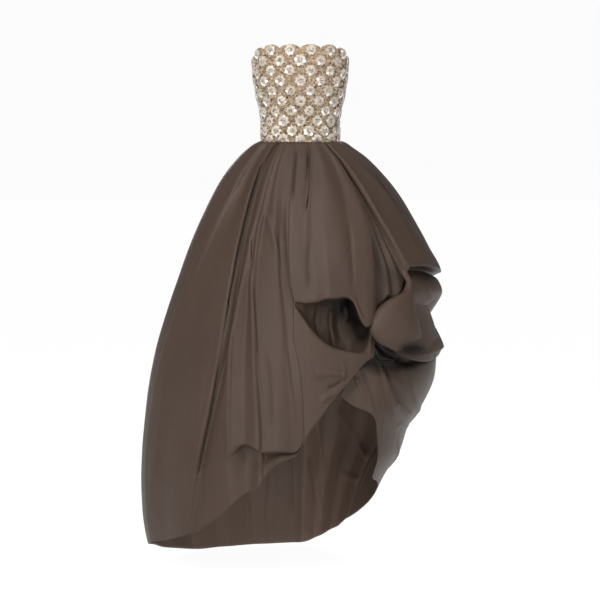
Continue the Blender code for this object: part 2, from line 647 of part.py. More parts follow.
def skirt_front_left(finish, collection):
    """Front left panel: the drape, its hollow and cowl, and the fall to the front hem."""
    folds = table(LEFT_COLUMNS, LEFT_FOLDS)
    over = table(UPPER_COLUMNS, UPPER_ROWS)
    under = columns_down(LEFT_LIP_COLUMNS, LEFT_LIP_ROWS)
    below = columns_down(LEFT_FALL_COLUMNS, LEFT_FALL_ROWS)
    places = columns_of(folds["steps"])
    lip, rim, hem, hollow = (at_folds(places, folds[n]) for n in ("lip", "rim", "hem", "hollow"))
    upper = over["part"][:, None] * lip
    plain = lip + (rim - lip) * under["plain"]
    turned = lip + (rim - lip) * under["turned"] + under["step"]
    start = rim - LEFT_FALL_START
    fall = start + (hem - start) * below["turned"]
    short = rim + (hem - rim) * below["plain"]
    fall = np.where(rim - hem < SHORT_FALL, short, fall)
    heights = np.vstack([upper, plain * (1 - hollow) + turned * hollow, fall])
    heights[0] = WAIST_TOP
    rows_at = LEFT_HEIGHTS + (LEFT_LIP_HEIGHT,)
    names = ("waist", "high", "hip", "low")
    a_upper = np.column_stack([stacked(folds, "a_", names), folds["a_lip"]])
    l_upper = np.column_stack([stacked(folds, "l_", names), folds["l_low"]])
    angles = fold_field(places, heights, rows_at, a_upper)
    lifts = fold_field(places, heights, rows_at, l_upper)
    a_lip, a_rim, a_hem = (at_folds(places, folds[n]) for n in ("a_lip", "a_rim", "a_hem"))
    top = len(upper)
    rest = top + len(plain)
    angles[top:rest] = a_lip * (1 - under["ease"]) + a_rim * under["ease"]
    down = (heights[rest:] - rim) / (hem - rim)
    angles[rest:] = a_rim * (1 - down) + a_hem * down
    near = over["part"] > 0.5
    blend = (over["part"][near, None] - 0.5) * 2
    blend = blend * blend * (3 - 2 * blend)
    angles[:top][near] = angles[:top][near] * (1 - blend) + a_lip * blend
    edge = np.where(places == places[-1], folds["l_low"][-1], 0.0)
    free = edge == 0
    lifts[top:rest] = lifts[top:rest] * under["keep"] * free + edge
    lifts[rest:] = edge
    swell = np.concatenate([over["left_lift"][:, None], under["lift"], below["lift"]])
    points = skirt_point(angles, heights, lifts + swell * hollow * free)
    return cloth_wall("skirt_front_left", points, {0: front_seam_line()}, finish, collection)


def side_drape(finish, collection):
    """Side drape: narrow pleats, two bubbles and the fall to the rising hem."""
    folds = table(SIDE_COLUMNS, SIDE_FOLDS)
    over = table(UPPER_COLUMNS, UPPER_ROWS)
    through = columns_down(SIDE_LIP_COLUMNS, SIDE_LIP_ROWS)
    below = columns_down(SIDE_FALL_COLUMNS, SIDE_FALL_ROWS)
    places = columns_of(folds["steps"])
    lip, mid, rim = (at_folds(places, folds[n]) for n in ("lip", "mid", "rim"))
    hem, bubble = (at_folds(places, folds[n]) for n in ("hem", "bubble"))
    upper = over["part"][:, None] * lip
    plain = shared(lip, mid, rim, through["plain_mid"], through["plain_rim"]) + through["plain_step"]
    turned = shared(lip, mid, rim, through["mid"], through["rim"]) + through["step"]
    start = plain[-1]
    fall = start + (hem - start) * below["part"]
    heights = np.vstack([upper, plain * (1 - bubble) + turned * bubble, fall])
    heights[0] = WAIST_TOP
    rows_at = SIDE_HEIGHTS + (SIDE_LIP_HEIGHT,)
    names = ("waist", "high", "hip", "lip")
    angles = fold_field(places, heights, rows_at, stacked(folds, "a_", names))
    lifts = fold_field(places, heights, rows_at, stacked(folds, "l_", names))
    a_lip, a_rim, a_fall, a_hem, l_lip, l_rim = (
        at_folds(places, folds[n]) for n in ("a_lip", "a_rim", "a_fall", "a_hem", "l_lip", "l_rim"))
    top = len(upper)
    rest = top + len(plain)
    angles[top:rest] = a_lip * (1 - through["ease"]) + a_rim * through["ease"]
    lower = a_rim * (1 - below["to_fall"]) + a_fall * below["to_fall"]
    angles[rest:] = lower * (1 - below["to_hem"]) + a_hem * below["to_hem"]
    lifts[top:rest] = l_lip * through["keep"] + l_rim * (1 - through["keep"])
    under = np.clip((UNDER_COWL_ANGLE - lower) / UNDER_COWL_SPREAD, 0.0, 1.0)
    lifts[rest:] = -UNDER_COWL_DEPTH * under
    flat = np.zeros((len(fall), 1))
    swell = np.concatenate([over["side_lift"][:, None], through["lift"], flat])
    points = skirt_point(angles, heights, lifts + swell * bubble)
    seams = {-1: back_seam_line(LEFT_BACK_SEAM)}
    return cloth_wall("side_drape", points, seams, finish, collection)


def skirt_back(row, finish, collection):
    """Back panel: even pleats from the waist that open towards the hem."""
    name, start, end, pleats, steps, first_way = row
    angle = np.linspace(start, end, pleats * steps + 1)
    heights = np.array((0.0,) + BACK_ROWS)[:, None] * back_hem(angle)
    heights[0] = WAIST_TOP
    place = (angle - start) / (end - start)
    pleat = table(PLEAT_COLUMNS, PLEAT_LIFT)
    size = curve(heights, pleat["height"], pleat["lift"])
    wave = first_way * (np.sin(place * pleats * 2 * pi) + 0.25 * np.sin(place * pleats * 4 * pi))
    angles = np.broadcast_to(angle, heights.shape)
    points = skirt_point(angles, heights, size * wave)
    seams = {0: back_seam_line(start), -1: back_seam_line(end)}
    return cloth_wall(name, points, seams, finish, collection)


def rest_on(points, seat, way):
    """Give the move along way that lays a tube of points one seam gap off the solid seat."""
    seat_points = [vertex.co for vertex in seat.data.vertices]
    seat_faces = [tuple(face.vertices) for face in seat.data.polygons]
    rows, columns = points.shape[:2]
    tube_points = [Vector(p) for p in points.reshape(-1, 3).tolist()]
    tube_faces = []
    for start in range(0, (rows - 1) * columns, columns):
        for j in range(columns):
            k = (j + 1) % columns
            tube_faces.append((start + j, start + k, start + columns + k, start + columns + j))
    seat_tree = BVHTree.FromPolygons(seat_points, seat_faces)
    tube_tree = BVHTree.FromPolygons(tube_points, tube_faces)
    hits = [seat_tree.ray_cast(p, way) for p in tube_points]
    hits += [tube_tree.ray_cast(p, -way) for p in seat_points]
    room = min(hit[3] for hit in hits if hit[0] is not None)
    return np.array(way) * (room - SEAM_GAP)


def side_puff(seat, finish, collection):
    """Rolled puff: a flattened tube of cloth that widens down to its open mouth.

    It is laid against the side drape, which carries it.
    """
    rows = table(PUFF_COLUMNS, PUFF_SECTIONS)
    turn = np.linspace(0, 2 * pi, PUFF_STEPS, endpoint=False)
    across = (1 - np.cos(turn)) / 2
    angle = rows["a_left"][:, None] * (1 - across) + rows["a_right"][:, None] * across
    height = rows["z_left"][:, None] * (1 - across) + rows["z_right"][:, None] * across
    behind = np.clip(-np.sin(turn), 0.0, 1.0)
    height = height - behind * rows["drop"][:, None] * MM
    lift = PUFF_SEAT + rows["bulge"][:, None] * (1 + np.sin(turn))
    points = skirt_point(angle, height, lift)
    wrapped = np.concatenate([points[:, -1:], points, points[:, :1]], axis=1)
    normal = grid_normals(wrapped)[:, 1:-1]
    half = CLOTH / 2
    outer = points + normal * half
    inner = points - normal * half
    way = Vector(-skirt_normal(np.array(PUFF_MIDDLE), rows["z_left"][2]))
    shift = rest_on(outer, seat, way)
    return loft_wall("side_puff", outer + shift, inner + shift, finish, collection, closed=True)


def neckline(angle):
    """Give the height of the top edge at an angle, as a part of the bodice's height."""
    data = table(NECKLINE_COLUMNS, NECKLINE)
    folded = np.abs((np.asarray(angle) + 180.0) % 360.0 - 180.0)
    return curve(folded, data["angle"], data["top"])


def lattice_point(p, k, out):
    """Give the bodice point at lattice column p and row k, moved out by out."""
    angle = p * 360.0 / FLOWER_COLUMNS
    row_height = FLOWER_TOP_ROW / FLOWER_ROWS
    height = (FLOWER_TOP_ROW - k * row_height) * neckline(angle)
    height = max(float(height), 0.0) + BODICE_BOTTOM
    return bodice_point(np.array(angle), np.array(height), out)


# Steps from a flower's centre to the edge of its cell, in lattice columns and rows.
CELL_EDGE = (
    (0.5, 0.0), (0.25, 0.5), (0.0, 1.0), (-0.25, 0.5),
    (-0.5, 0.0), (-0.25, -0.5), (0.0, -1.0), (0.25, -0.5),
)


class BodicePanel:
    """One bodice panel: a wall with raised flowers outside and a plain inside."""

    def __init__(self, name, first, last):
        self.name = name
        self.first = first
        self.last = last
        self.shell = bmesh.new()
        self.verts = {}

    def vertex(self, p, k, out, side):
        """Give the vertex at a lattice place, made once; side parts outer from inner."""
        key = (round(p * 1000), round(k * 1000), side)
        if key not in self.verts:
            point = lattice_point(p, k, out)
            for edge, way in ((self.first, 1.0), (self.last, -1.0)):
                if abs(p - edge) < 1e-6:
                    ahead = lattice_point(p + 0.05 * way, k, out) - point
                    ahead[2] = 0.0
                    point = point + ahead / np.linalg.norm(ahead) * SEAM_GAP / 2
            self.verts[key] = self.shell.verts.new(point.tolist())
        return self.verts[key]

    def cell(self, p, k):
        """Add a flower's cell: centre, crest ring, rim and the ground to the cell's edge."""
        ring = []
        for dp, dk in CELL_EDGE:
            if self.first - 1e-6 <= p + dp <= self.last + 1e-6 and k + dk <= FLOWER_ROWS + 1e-6:
                ring.append((dp, dk))
        whole = len(ring) == len(CELL_EDGE)
        while not whole and not self.gap_at_end(ring):
            ring.append(ring.pop(0))
        centre = self.vertex(p, k, FLOWER_CENTRE_RISE, "out")
        spokes = [self.spoke(p, k, dp, dk) for dp, dk in ring]
        pairs = list(zip(spokes, spokes[1:] + spokes[:1]))
        for a, b in pairs if whole else pairs[:-1]:
            self.shell.faces.new((centre, a[0], b[0]))
            for i in range(min(len(a), len(b)) - 1):
                self.shell.faces.new((a[i], a[i + 1], b[i + 1], b[i]))
            self.close(a, b)
        self.inside(p, k, ring, whole)

    def gap_at_end(self, ring):
        """Say whether the missing steps of a cut cell lie between the last and the first."""
        places = [CELL_EDGE.index(step) for step in ring]
        return all((b - a) % len(CELL_EDGE) == 1 for a, b in zip(places, places[1:]))

    def spoke(self, p, k, dp, dk):
        """Give the vertices out along one direction of a flower: crest, rim and edge."""
        length = np.hypot(dp * CELL_WIDTH, dk * CELL_HEIGHT)
        line = []
        for radius, rise in ((FLOWER_CREST, FLOWER_RISE), (FLOWER_RIM, 0.0)):
            part = radius / length
            line.append(self.vertex(p + dp * part, k + dk * part, rise, "out"))
        if not (k < 0.5 and dk < 0):
            line.append(self.vertex(p + dp, k + dk, 0.0, "out"))
        return line

    def close(self, a, b):
        """Add the corner face where one spoke ends on the rim and the next goes on."""
        if len(a) == 3 and len(b) == 2:
            self.shell.faces.new((a[1], a[2], b[1]))
        if len(a) == 2 and len(b) == 3:
            self.shell.faces.new((a[1], b[2], b[1]))

    def inside(self, p, k, ring, whole):
        """Add the plain inside of a cell as one face, cut down its middle where it is whole."""
        outline = self.inside_outline(p, k, ring, whole)
        if whole and k >= 0.5:
            right, bottom, left, top = outline
            self.shell.faces.new((top, left, bottom))
            self.shell.faces.new((top, bottom, right))
            return
        self.shell.faces.new(outline[::-1])

    def inside_outline(self, p, k, ring, whole):
        """List the vertices round the inside of a cell."""
        def inner(dp, dk):
            return self.vertex(p + dp, k + dk, -BODICE_WALL, "in")

        def rim(dp, dk):
            part = FLOWER_RIM / np.hypot(dp * CELL_WIDTH, dk * CELL_HEIGHT)
            return inner(dp * part, dk * part)

        outline = []
        for dp, dk in ring:
            if k < 0.5 and dk < 0:
                outline.append(rim(dp, dk))
            elif (dp, dk) in ((0.5, 0.0), (0.0, 1.0), (-0.5, 0.0), (0.0, -1.0)):
                outline.append(inner(dp, dk))
        if not whole:
            outline.extend(self.cut_line(p, k, ring[-1], ring[0]))
        return outline

    def cut_line(self, p, k, end, start):
        """List the inside vertices along the line where a cell is cut at the panel's edge."""
        line = []
        rims = (FLOWER_RIM, FLOWER_CREST)
        for (dp, dk), radii in ((end, rims), (start, rims[::-1])):
            part = [radius / np.hypot(dp * CELL_WIDTH, dk * CELL_HEIGHT) for radius in radii]
            if k < 0.5 and dk < 0:
                part = [value for value, radius in zip(part, radii) if radius == FLOWER_CREST]
            line.append([self.vertex(p + dp * t, k + dk * t, -BODICE_WALL, "in") for t in part])
        centre = self.vertex(p, k, -BODICE_WALL, "in")
        return line[0] + [centre] + line[1]

    def finish(self, finish, collection):
        """Join the outside to the inside along the edges and give the panel's object."""
        self.shell.verts.index_update()
        sides = {vertex.index: key for key, vertex in self.verts.items()}
        open_edges = [edge for edge in self.shell.edges if len(edge.link_faces) == 1]
        for edge in open_edges:
            a, b = edge.verts
            key_a, key_b = sides[a.index], sides[b.index]
            if key_a[2] == "in":
                continue
            twins = [self.verts.get((key[0], key[1], "in")) for key in (key_a, key_b)]
            self.shell.faces.new((a, b, twins[1], twins[0]))
        bmesh.ops.triangulate(self.shell, faces=self.shell.faces[:], quad_method="SHORT_EDGE")
        bmesh.ops.recalc_face_normals(self.shell, faces=self.shell.faces[:])
        mesh = bpy.data.meshes.new(self.name)
        self.shell.to_mesh(mesh)
        self.shell.free()
        return add_object(self.name, mesh, finish, collection)


def bodice_panel(name, first, last, finish, collection):
    """Make a bodice panel from lattice column first to last."""
    panel = BodicePanel(name, first, last)
    for k in range(FLOWER_ROWS + 1):
        offset = 0.5 if k % 2 == 0 else 0.0
        p = np.floor(first) + offset
        while p < last + 0.6:
            if first - 1e-6 <= p <= last + 1e-6:
                panel.cell(p, k)
            p += 1.0
    return panel.finish(finish, collection)


def tape_outline():
    """Give the middle line of the zip tape: down inside the bodice, then under the skirt."""
    depth = BODICE_WALL + SEAM_GAP + TAPE_EASE + TAPE_THICKNESS / 2
    upper = np.array(TAPE_HEIGHTS)
    back = curve(upper, BODICE["height"], BODICE["back"]) - depth
    seam = back_seam_line(CENTRE_BACK)[0]
    down = directions(seam)
    out = np.stack([np.zeros(len(down)), -down[:, 2], down[:, 1]], -1)
    under = seam - out * ((CLOTH + TAPE_THICKNESS) / 2 + SEAM_GAP) * TAPE_MITRE
    end = np.array([np.interp(-TAPE_BOTTOM, -under[:, 2], under[:, i]) for i in range(3)])
    under = np.vstack([under[TAPE_STATIONS[0]:TAPE_STATIONS[1]], end])
    return np.concatenate([back, under[:, 1]]), np.concatenate([upper, under[:, 2]])


def zip_tape(finish, collection):
    """Zip tape: a thin strip down the inside of the centre back seam."""
    y, z = tape_outline()
    line = np.stack([np.zeros_like(y), y, z], -1)
    sides = (TAPE_WIDTH / 2, 0.0, -TAPE_WIDTH / 2)
    points = np.stack([line + np.array([x, 0.0, 0.0]) for x in sides], 1)
    half = grid_normals(points) * TAPE_THICKNESS / 2
    return loft_wall("zip_tape", points + half, points - half, finish, collection)


def box(name, size, centre, finish, collection):
    """Make a box as a named object, with its place in its mesh."""
    shape = bmesh.new()
    place = Matrix.Translation(centre) @ Matrix.Diagonal((*size, 1.0))
    bmesh.ops.create_cube(shape, size=1.0, matrix=place)
    mesh = bpy.data.meshes.new(name)
    shape.to_mesh(mesh)
    shape.free()
    return add_object(name, mesh, finish, collection)


def zip_slider(finish, collection):
    """Zip slider: a body on the seam, with two lugs that carry the pull's pin."""
    width, depth, height = SLIDER_SIZE
    centre = Vector((0.0, SLIDER_FRONT + depth / 2, SLIDER_TOP - height / 2))
    slider = box("zip_slider", SLIDER_SIZE, centre, finish, collection)
    lug_size = (LUG_THICKNESS, LUG_REACH, LUG_HEIGHT)
    for side in (-1, 1):
        across = side * (width - LUG_THICKNESS) / 2
        lug = box("zip_lug", lug_size, (across, HINGE_Y - LUG_SINK, HINGE_HEIGHT), finish, collection)
        join_and_remove(slider, lug)
    return slider


def join_and_remove(target, tool):
    """Unite tool with target for good, and remove tool."""
    modifier = target.modifiers.new("join", "BOOLEAN")
    modifier.operation = "UNION"
    modifier.solver = "EXACT"
    modifier.object = tool
    graph = bpy.context.evaluated_depsgraph_get()
    graph.update()
    joined = bpy.data.meshes.new_from_object(target.evaluated_get(graph))
    joined.name = target.name
    target.modifiers.remove(modifier)
    target.data = joined
    bpy.data.objects.remove(tool, do_unlink=True)


def zip_pull(finish, collection):
    """Zip pull: a drop shaped tab that hangs from its eye between the slider's lugs."""
    across = PULL_THICKNESS / 2
    eye = SLIDER_SIZE[0] / 2 - LUG_THICKNESS - HINGE_CLEARANCE
    outline = [(eye, PULL_EYE_TOP), (eye, -PULL_NECK)]
    centre = -(PULL_LENGTH - PULL_WIDTH / 2)
    for step in range(PULL_ROUND_STEPS + 1):
        turn = pi * step / PULL_ROUND_STEPS
        outline.append((PULL_WIDTH / 2 * cos(turn), centre - PULL_WIDTH / 2 * sin(turn)))
    outline += [(-eye, -PULL_NECK), (-eye, PULL_EYE_TOP)]
    shape = bmesh.new()
    face = shape.faces.new([shape.verts.new((x, -across, z)) for x, z in outline])
    grown = bmesh.ops.extrude_face_region(shape, geom=[face])
    moved = [item for item in grown["geom"] if isinstance(item, bmesh.types.BMVert)]
    bmesh.ops.translate(shape, verts=moved, vec=(0.0, PULL_THICKNESS, 0.0))
    bmesh.ops.recalc_face_normals(shape, faces=shape.faces[:])
    mesh = bpy.data.meshes.new("zip_pull")
    shape.to_mesh(mesh)
    shape.free()
    pull = add_object("zip_pull", mesh, finish, collection)
    pull.location = (0.0, HINGE_Y, HINGE_HEIGHT)
    return pull


def build():
    """Build the whole gown."""
    clear_scene()
    collection = make_collection("high_low_gown")
    skirt_front_right("taffeta", collection)
    skirt_front_left("taffeta", collection)
    side = side_drape("taffeta", collection)
    for row in BACK_PANELS:
        skirt_back(row, "taffeta", collection)
    side_puff(side, "taffeta", collection)
    for name, first, last in BODICE_PANELS:
        bodice_panel(name, first, last, "beaded_tulle", collection)
    zip_tape("zip_tape", collection)
    zip_slider("zip_metal", collection)
    zip_pull("zip_metal", collection)


build()
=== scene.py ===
"""High-low gown: the taffeta, the beaded bodice and the stage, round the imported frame.

Metres, +Z up, the front faces -Y and +X is the wearer's left. Angles run round the body in
degrees from the centre front towards +X. A lift is how far cloth stands out from the gown's
plain outer form, in mm.
"""
from math import cos, pi, radians, sin

import bmesh
import bpy
import numpy as np
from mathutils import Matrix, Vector


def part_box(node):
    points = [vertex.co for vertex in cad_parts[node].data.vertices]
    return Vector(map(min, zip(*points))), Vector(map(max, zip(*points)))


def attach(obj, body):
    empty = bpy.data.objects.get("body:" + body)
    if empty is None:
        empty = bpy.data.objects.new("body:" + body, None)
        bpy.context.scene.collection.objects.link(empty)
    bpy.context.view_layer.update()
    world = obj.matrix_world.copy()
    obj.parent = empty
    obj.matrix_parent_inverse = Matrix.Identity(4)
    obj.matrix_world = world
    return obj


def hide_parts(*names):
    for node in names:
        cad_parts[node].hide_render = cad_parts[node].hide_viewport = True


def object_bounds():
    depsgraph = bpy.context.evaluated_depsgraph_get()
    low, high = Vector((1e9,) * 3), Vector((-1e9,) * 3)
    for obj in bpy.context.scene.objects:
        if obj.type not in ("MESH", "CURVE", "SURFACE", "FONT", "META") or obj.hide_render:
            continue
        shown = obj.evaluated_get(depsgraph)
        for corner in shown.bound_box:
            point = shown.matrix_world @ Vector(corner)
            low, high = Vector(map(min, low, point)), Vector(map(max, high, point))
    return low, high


bl_info = {
    "name": "High-low gown",
    "version": (1, 0, 0),
    "blender": (4, 5, 0),
    "location": "View3D > Sidebar > Gown",
    "description": "Makes a draped high-low gown with a beaded bodice",
    "category": "Object",
}

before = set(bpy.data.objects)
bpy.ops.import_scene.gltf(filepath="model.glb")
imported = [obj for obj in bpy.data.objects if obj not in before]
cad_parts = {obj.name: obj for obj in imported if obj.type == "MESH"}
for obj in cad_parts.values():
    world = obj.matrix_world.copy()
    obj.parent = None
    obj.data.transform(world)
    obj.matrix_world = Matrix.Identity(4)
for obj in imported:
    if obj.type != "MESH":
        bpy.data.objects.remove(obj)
CAD_BOX = [list(corner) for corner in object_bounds()]

MM = 0.001
WAIST_TOP = -0.7 * MM
SLOPE_STEP = 3.0 * MM
BODICE_BOTTOM = 0.3 * MM

# Plain outer form of the skirt at each height: how far it reaches to each side, in metres.
SKIRT_COLUMNS = ("height", "right_side", "left_side", "front", "back")
SKIRT_SECTIONS = (
    (0.000, 0.116, 0.116, 0.090, 0.088),
    (-0.006, 0.134, 0.133, 0.106, 0.104),
    (-0.020, 0.154, 0.153, 0.125, 0.127),
    (-0.050, 0.186, 0.194, 0.160, 0.165),
    (-0.110, 0.233, 0.250, 0.210, 0.223),
    (-0.200, 0.281, 0.314, 0.266, 0.289),
    (-0.300, 0.325, 0.367, 0.314, 0.352),
    (-0.400, 0.361, 0.411, 0.348, 0.402),
    (-0.500, 0.396, 0.424, 0.370, 0.442),
    (-0.600, 0.426, 0.426, 0.386, 0.472),
    (-0.650, 0.438, 0.413, 0.392, 0.484),
    (-0.710, 0.450, 0.400, 0.397, 0.496),
    (-0.770, 0.459, 0.374, 0.400, 0.506),
    (-0.850, 0.468, 0.323, 0.403, 0.515),
    (-0.920, 0.474, 0.300, 0.404, 0.521),
    (-1.000, 0.477, 0.250, 0.402, 0.525),
    (-1.100, 0.473, 0.205, 0.396, 0.526),
    (-1.180, 0.462, 0.180, 0.388, 0.524),
    (-1.270, 0.436, 0.165, 0.376, 0.518),
)

# Outer form of the bodice under its flowers.
BODICE_COLUMNS = ("height", "side", "front", "back")
BODICE_SECTIONS = (
    (0.00, 0.1140, 0.0880, 0.0860),
    (0.06, 0.1140, 0.0900, 0.0870),
    (0.10, 0.1200, 0.0950, 0.0890),
    (0.14, 0.1290, 0.1040, 0.0920),
    (0.18, 0.1355, 0.1130, 0.0950),
    (0.22, 0.1400, 0.1150, 0.0980),
    (0.26, 0.1400, 0.1100, 0.1000),
    (0.30, 0.1390, 0.1030, 0.1010),
)
# Height of the top edge round the body, as a part of the full height.
NECKLINE_COLUMNS = ("angle", "top")
NECKLINE = ((0, 1.0), (44, 0.995), (64, 0.955), (80, 0.89), (100, 0.86), (180, 0.82))

# Lattice of beaded flowers: columns round the body, rows down it.
FLOWER_COLUMNS = 14
COLUMN_ANGLE = 360.0 / FLOWER_COLUMNS
FLOWER_ROWS = 9
FLOWER_TOP_ROW = 0.2735
FLOWER_PITCH = 0.030
NUDGE = 0.01
# Bodice panels, from one lattice column to another.
BODICE_PANELS = (
    ("bodice_front", -3.5, 3.5),
    ("bodice_back_left", 3.5, 7.0),
    ("bodice_back_right", -7.0, -3.5),
)

# Centre front seam of the skirt.
SEAM_COLUMNS = ("height", "angle")
FRONT_SEAM = (
    (0.000, -7.2), (-0.074, -6.4), (-0.180, -6.8), (-0.264, -6.4), (-0.406, -4.6),
    (-0.462, -2.8), (-0.540, -2.8), (-0.680, 0.3), (-0.866, 2.3),
)
# Rows of the back panels, as parts of the way down to the hem.
BACK_ROWS = (0.006, 0.018, 0.045, 0.10, 0.19, 0.30, 0.42, 0.55, 0.69, 0.84, 1.0)
RIGHT_SIDE_SEAM = 262.0
RIGHT_BACK_SEAM = 229.0
CENTRE_BACK = 180.0
LEFT_BACK_SEAM = 125.0

# Folds of the front right panel, from the side seam to the centre front. Angles and lifts
# stand at six heights of the cloth; roll is how far the bubble lip turns under.
RIGHT_HEIGHTS = (0.0, -0.11, -0.30, -0.56, -0.87, -1.20)
RIGHT_COLUMNS = (
    "name", "steps", "a_waist", "a_high", "a_hip", "a_thigh", "a_knee", "a_hem",
    "l_waist", "l_high", "l_hip", "l_thigh", "l_knee", "l_hem", "lip", "hem", "roll")
RIGHT_FOLDS = (
    ("side_seam", 3, -98, -98, -98, -98, -98, -98, 0, 0, 0, 0, 0, 0, -0.980, -1.218, 0.0),
    ("side_pleat", 3, -76, -74, -78, -84, -87, -88, 2, 2, 3, 2, 0, 2, -0.970, -1.206, 0.0),
    ("side_dip", 1, -56, -54, -65, -72, -77, -79, -6, -6, -6, -5, -6, -5, -0.960, -1.196, 0.0),
    ("far_fold", 2, -52, -50, -60, -67, -72, -74, 6, 9, 9, 8, 8, 7, -0.955, -1.191, 0.0),
    ("far_dip", 3, -44, -42, -47, -52, -57, -60, -2, -3, -4, -4, -4, -5, -0.945, -1.176, 0.0),
    ("deep_edge", 1, -33.6, -33.4, -33.2, -32.4, -38.2, -46.5, 6, 12, 14, 12, 10, 6,
     -0.925, -1.152, 0.0),
    ("deep_dip", 2, -31.4, -31.2, -30.9, -29.9, -35.4, -44, -5, -8, -10, -8, -6, -3,
     -0.920, -1.146, 0.0),
    ("mid_ridge", 2, -25, -26, -27.0, -28.0, -26.8, -24.8, 0, 0, 3, 10, 12, 9,
     -0.880, -1.063, 0.05),
    ("mid_dip", 1, -24, -24, -25.0, -23.0, -20.0, -17.6, 0, -1, -2, -6, -7, -2,
     -0.868, -1.017, 0.8),
    ("third_ridge", 1, -22, -23, -23.2, -19.2, -14.6, -14.0, 0, 1, 4, 8, 8, 2,
     -0.886, -0.997, 1.0),
    ("third_dip", 2, -20, -20, -21.0, -17.6, -12.9, -12.0, -1, -1, -2, -3, -4, 0,
     -0.893, -0.965, 1.0),
    ("arch_ridge", 2, -17, -17, -13.0, -8.0, -7.0, -7.0, 0, 2, 8, 6, 5, 2,
     -0.888, -0.925, 0.8),
    ("seam_dip", 1, -12, -11.4, -10.4, -5.0, -2.2, -1.2, -2, -3, -3, -3, -2, 0,
     -0.892, -0.908, 0.35),
    ("front_seam", 0, -7.2, -6.4, -6.0, -2.6, 2.3, 2.3, 0, 0, 0, 0, 0, 0,
     -0.850, -0.866, 0.0),
)

# Folds of the front left panel, from the centre front to its outer edge. It hangs in a
# drape with a lip, is caught back into a hollow and comes out again over a cowl rim.
LEFT_COLUMNS = (
    "name", "steps", "a_waist", "a_high", "a_hip", "a_low", "a_lip", "a_rim", "a_hem",
    "l_waist", "l_high", "l_hip", "l_low", "lip", "rim", "hem", "hollow")
LEFT_HEIGHTS = (0.0, -0.11, -0.21, -0.38)
LEFT_FOLDS = (
    ("front_seam", 2, -7.2, -6.5, -6.7, -5.0, -3.1, -2.8, 2.3, 0, 0, 0, 0,
     -0.452, -0.474, -0.866, 0.0),
    ("pleat_floor", 1, 9.4, 4.0, 1.2, 1.0, 1.0, 1.4, 4.8, -4, -4, 0, -2,
     -0.455, -0.512, -0.840, 0.35),
    ("pleat_edge", 1, 11.4, 6.0, 3.2, 3.0, 3.0, 3.6, 6.4, 2, 3, 2, -5,
     -0.456, -0.534, -0.824, 0.60),
    ("soft_dip", 2, 14.4, 9.0, 5.6, 5.2, 6.0, 6.4, 8.3, 2, 1, 0, -6,
     -0.456, -0.558, -0.808, 0.80),
    ("broad_ridge", 2, 20.0, 15.5, 13.0, 12.0, 11.4, 10.4, 11.4, 4, 8, 9, 8,
     -0.452, -0.584, -0.775, 1.0),
    ("lip_rise", 1, 25.0, 23.0, 21.0, 18.0, 17.0, 14.4, 15.5, 2, 3, 4, 5,
     -0.449, -0.598, -0.733, 1.0),
    ("lobe_start", 1, 27.0, 26.3, 24.5, 21.0, 20.8, 17.0, 18.0, 2, 2, 3, 4,
     -0.464, -0.603, -0.712, 1.0),
    ("lobe_side", 1, 28.3, 28.8, 27.4, 23.4, 22.9, 19.6, 20.3, 2, 4, 6, 8,
     -0.512, -0.607, -0.694, 0.95),
    ("lobe_bottom", 1, 29.6, 31.2, 30.6, 27.0, 25.4, 22.4, 23.0, 3, 7, 10, 12,
     -0.533, -0.611, -0.670, 0.85),
    ("lobe_end", 1, 30.8, 33.4, 33.4, 30.6, 28.4, 25.8, 26.0, 3, 8, 12, 13,
     -0.520, -0.614, -0.645, 0.45),
    ("outer_edge", 1, 31.8, 35.0, 35.6, 33.2, 30.6, 28.6, 28.6, 2, 6, 10, 11,
     -0.482, -0.617, -0.630, 0.0),
    ("turned_edge", 0, 32.8, 35.8, 36.4, 34.2, 32.4, 31.6, 31.0, -9.6, -9.6, -9.6, -9.6,
     -0.466, -0.614, -0.626, 0.0),
)

